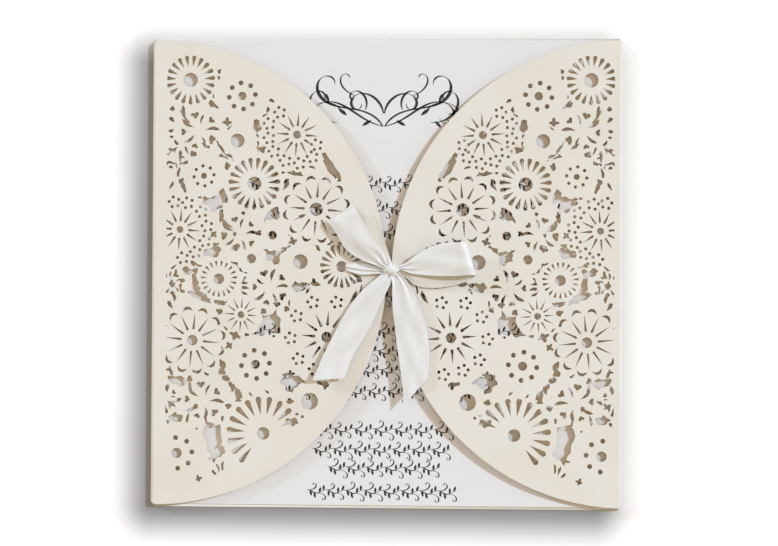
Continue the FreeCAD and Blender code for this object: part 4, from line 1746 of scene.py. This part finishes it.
@dataclass
class Studio:
    """Pale table, a low key from the right, soft fill, and the camera overhead."""

    key_power: float = 1.9
    fill_power: float = 0.9
    sky: float = 0.59
    cool: Triple = (0.81, 1.0, 1.24)  # tint of the lamps
    warm: Triple = (1.0, 0.835, 0.625)  # tint of the sky
    table: float = 1500.0  # half the table's side
    lens: float = 86.0
    sensor: float = 36.0
    eye: Triple = (23.18, -7.03, 593.6)
    target: Triple = (0.91, 0.03, 0.9)
    roll: float = 0.31

    def floor(self) -> bpy.types.Object:
        """Lays the table top under the object.

        Returns:
            The table.
        """
        corners = np.array([[-1, -1, 0], [1, -1, 0], [1, 1, 0], [-1, 1, 0]])
        made = make_object("table", self.table * corners, [[0, 1, 2, 3]], smooth=None)
        made.data.materials.append(TableWithPaintedShade().make())
        return made

    def sun(self, name: str, azimuth: float, height: float, power: float, spread: float) -> None:
        """Adds a distant lamp.

        Args:
            name: its name.
            azimuth: where it shines from, in degrees from +X.
            height: degrees above the table.
            power: its strength.
            spread: how wide it looks, in degrees.
        """
        lamp = bpy.data.lights.new(name, "SUN")
        lamp.energy, lamp.angle, lamp.color = power, math.radians(spread), self.cool
        made = bpy.data.objects.new(name, lamp)
        a, e = math.radians(azimuth), math.radians(height)
        back = Vector((math.cos(a) * math.cos(e), math.sin(a) * math.cos(e), math.sin(e)))
        made.rotation_mode = "QUATERNION"
        made.rotation_quaternion = back.to_track_quat("Z", "Y")
        made.location = back
        bpy.context.scene.collection.objects.link(made)

    def world(self) -> None:
        """Even light from all round, as warm as cream card throws back, and white to the eye."""
        world = bpy.data.worlds.new("studio")
        world.use_nodes = True
        tree = world.node_tree
        shade = tree.nodes["Background"]
        shade.inputs["Color"].default_value = (*self.warm, 1.0)
        shade.inputs["Strength"].default_value = self.sky
        white = tree.nodes.new("ShaderNodeBackground")
        white.inputs["Color"].default_value = (1.0, 1.0, 1.0, 1.0)
        path = tree.nodes.new("ShaderNodeLightPath")
        both = tree.nodes.new("ShaderNodeMixShader")
        terms = path.outputs["Is Camera Ray"], shade.outputs[0], white.outputs[0]
        for term, slot in zip(terms, both.inputs):
            tree.links.new(term, slot)
        tree.links.new(both.outputs[0], tree.nodes["World Output"].inputs["Surface"])
        bpy.context.scene.world = world

    def camera(self) -> None:
        """Camera: looks along the line to its target, with +Y up, then rolls a little."""
        data = bpy.data.cameras.new("camera")
        data.lens, data.sensor_width = self.lens, self.sensor
        data.clip_start, data.clip_end = 0.01, 10.0
        made = bpy.data.objects.new("camera", data)
        eye, target = np.array(self.eye), np.array(self.target)
        back = (eye - target) / np.linalg.norm(eye - target)
        right = np.cross([0.0, 1.0, 0.0], back)
        right /= np.linalg.norm(right)
        up = np.cross(back, right)
        c, s = math.cos(math.radians(self.roll)), math.sin(math.radians(self.roll))
        right, up = right * c + up * s, up * c - right * s
        turn = Matrix(np.stack([right, up, back], axis=1).tolist()).to_4x4()
        made.matrix_world = Matrix.Translation(Vector(self.eye) * MM) @ turn
        bpy.context.scene.collection.objects.link(made)
        bpy.context.scene.camera = made

    def build(self) -> None:
        """Sets the whole stage."""
        self.floor()
        self.sun("key", azimuth=25.0, height=37.0, power=self.key_power, spread=5.0)
        self.sun("fill", azimuth=150.0, height=16.0, power=self.fill_power, spread=6.0)
        self.world()
        self.camera()
        bpy.context.scene.view_settings.view_transform = "Standard"


def main() -> None:
    """Builds the object and its stage in order."""
    logging.basicConfig(level=logging.INFO, format="%(name)s: %(message)s")
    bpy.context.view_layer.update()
    Sleeve().build()
    InsertPrint().build()
    SatinBow().build()
    Studio().build()
    bpy.context.view_layer.update()


if __name__ == "__main__":
    main()
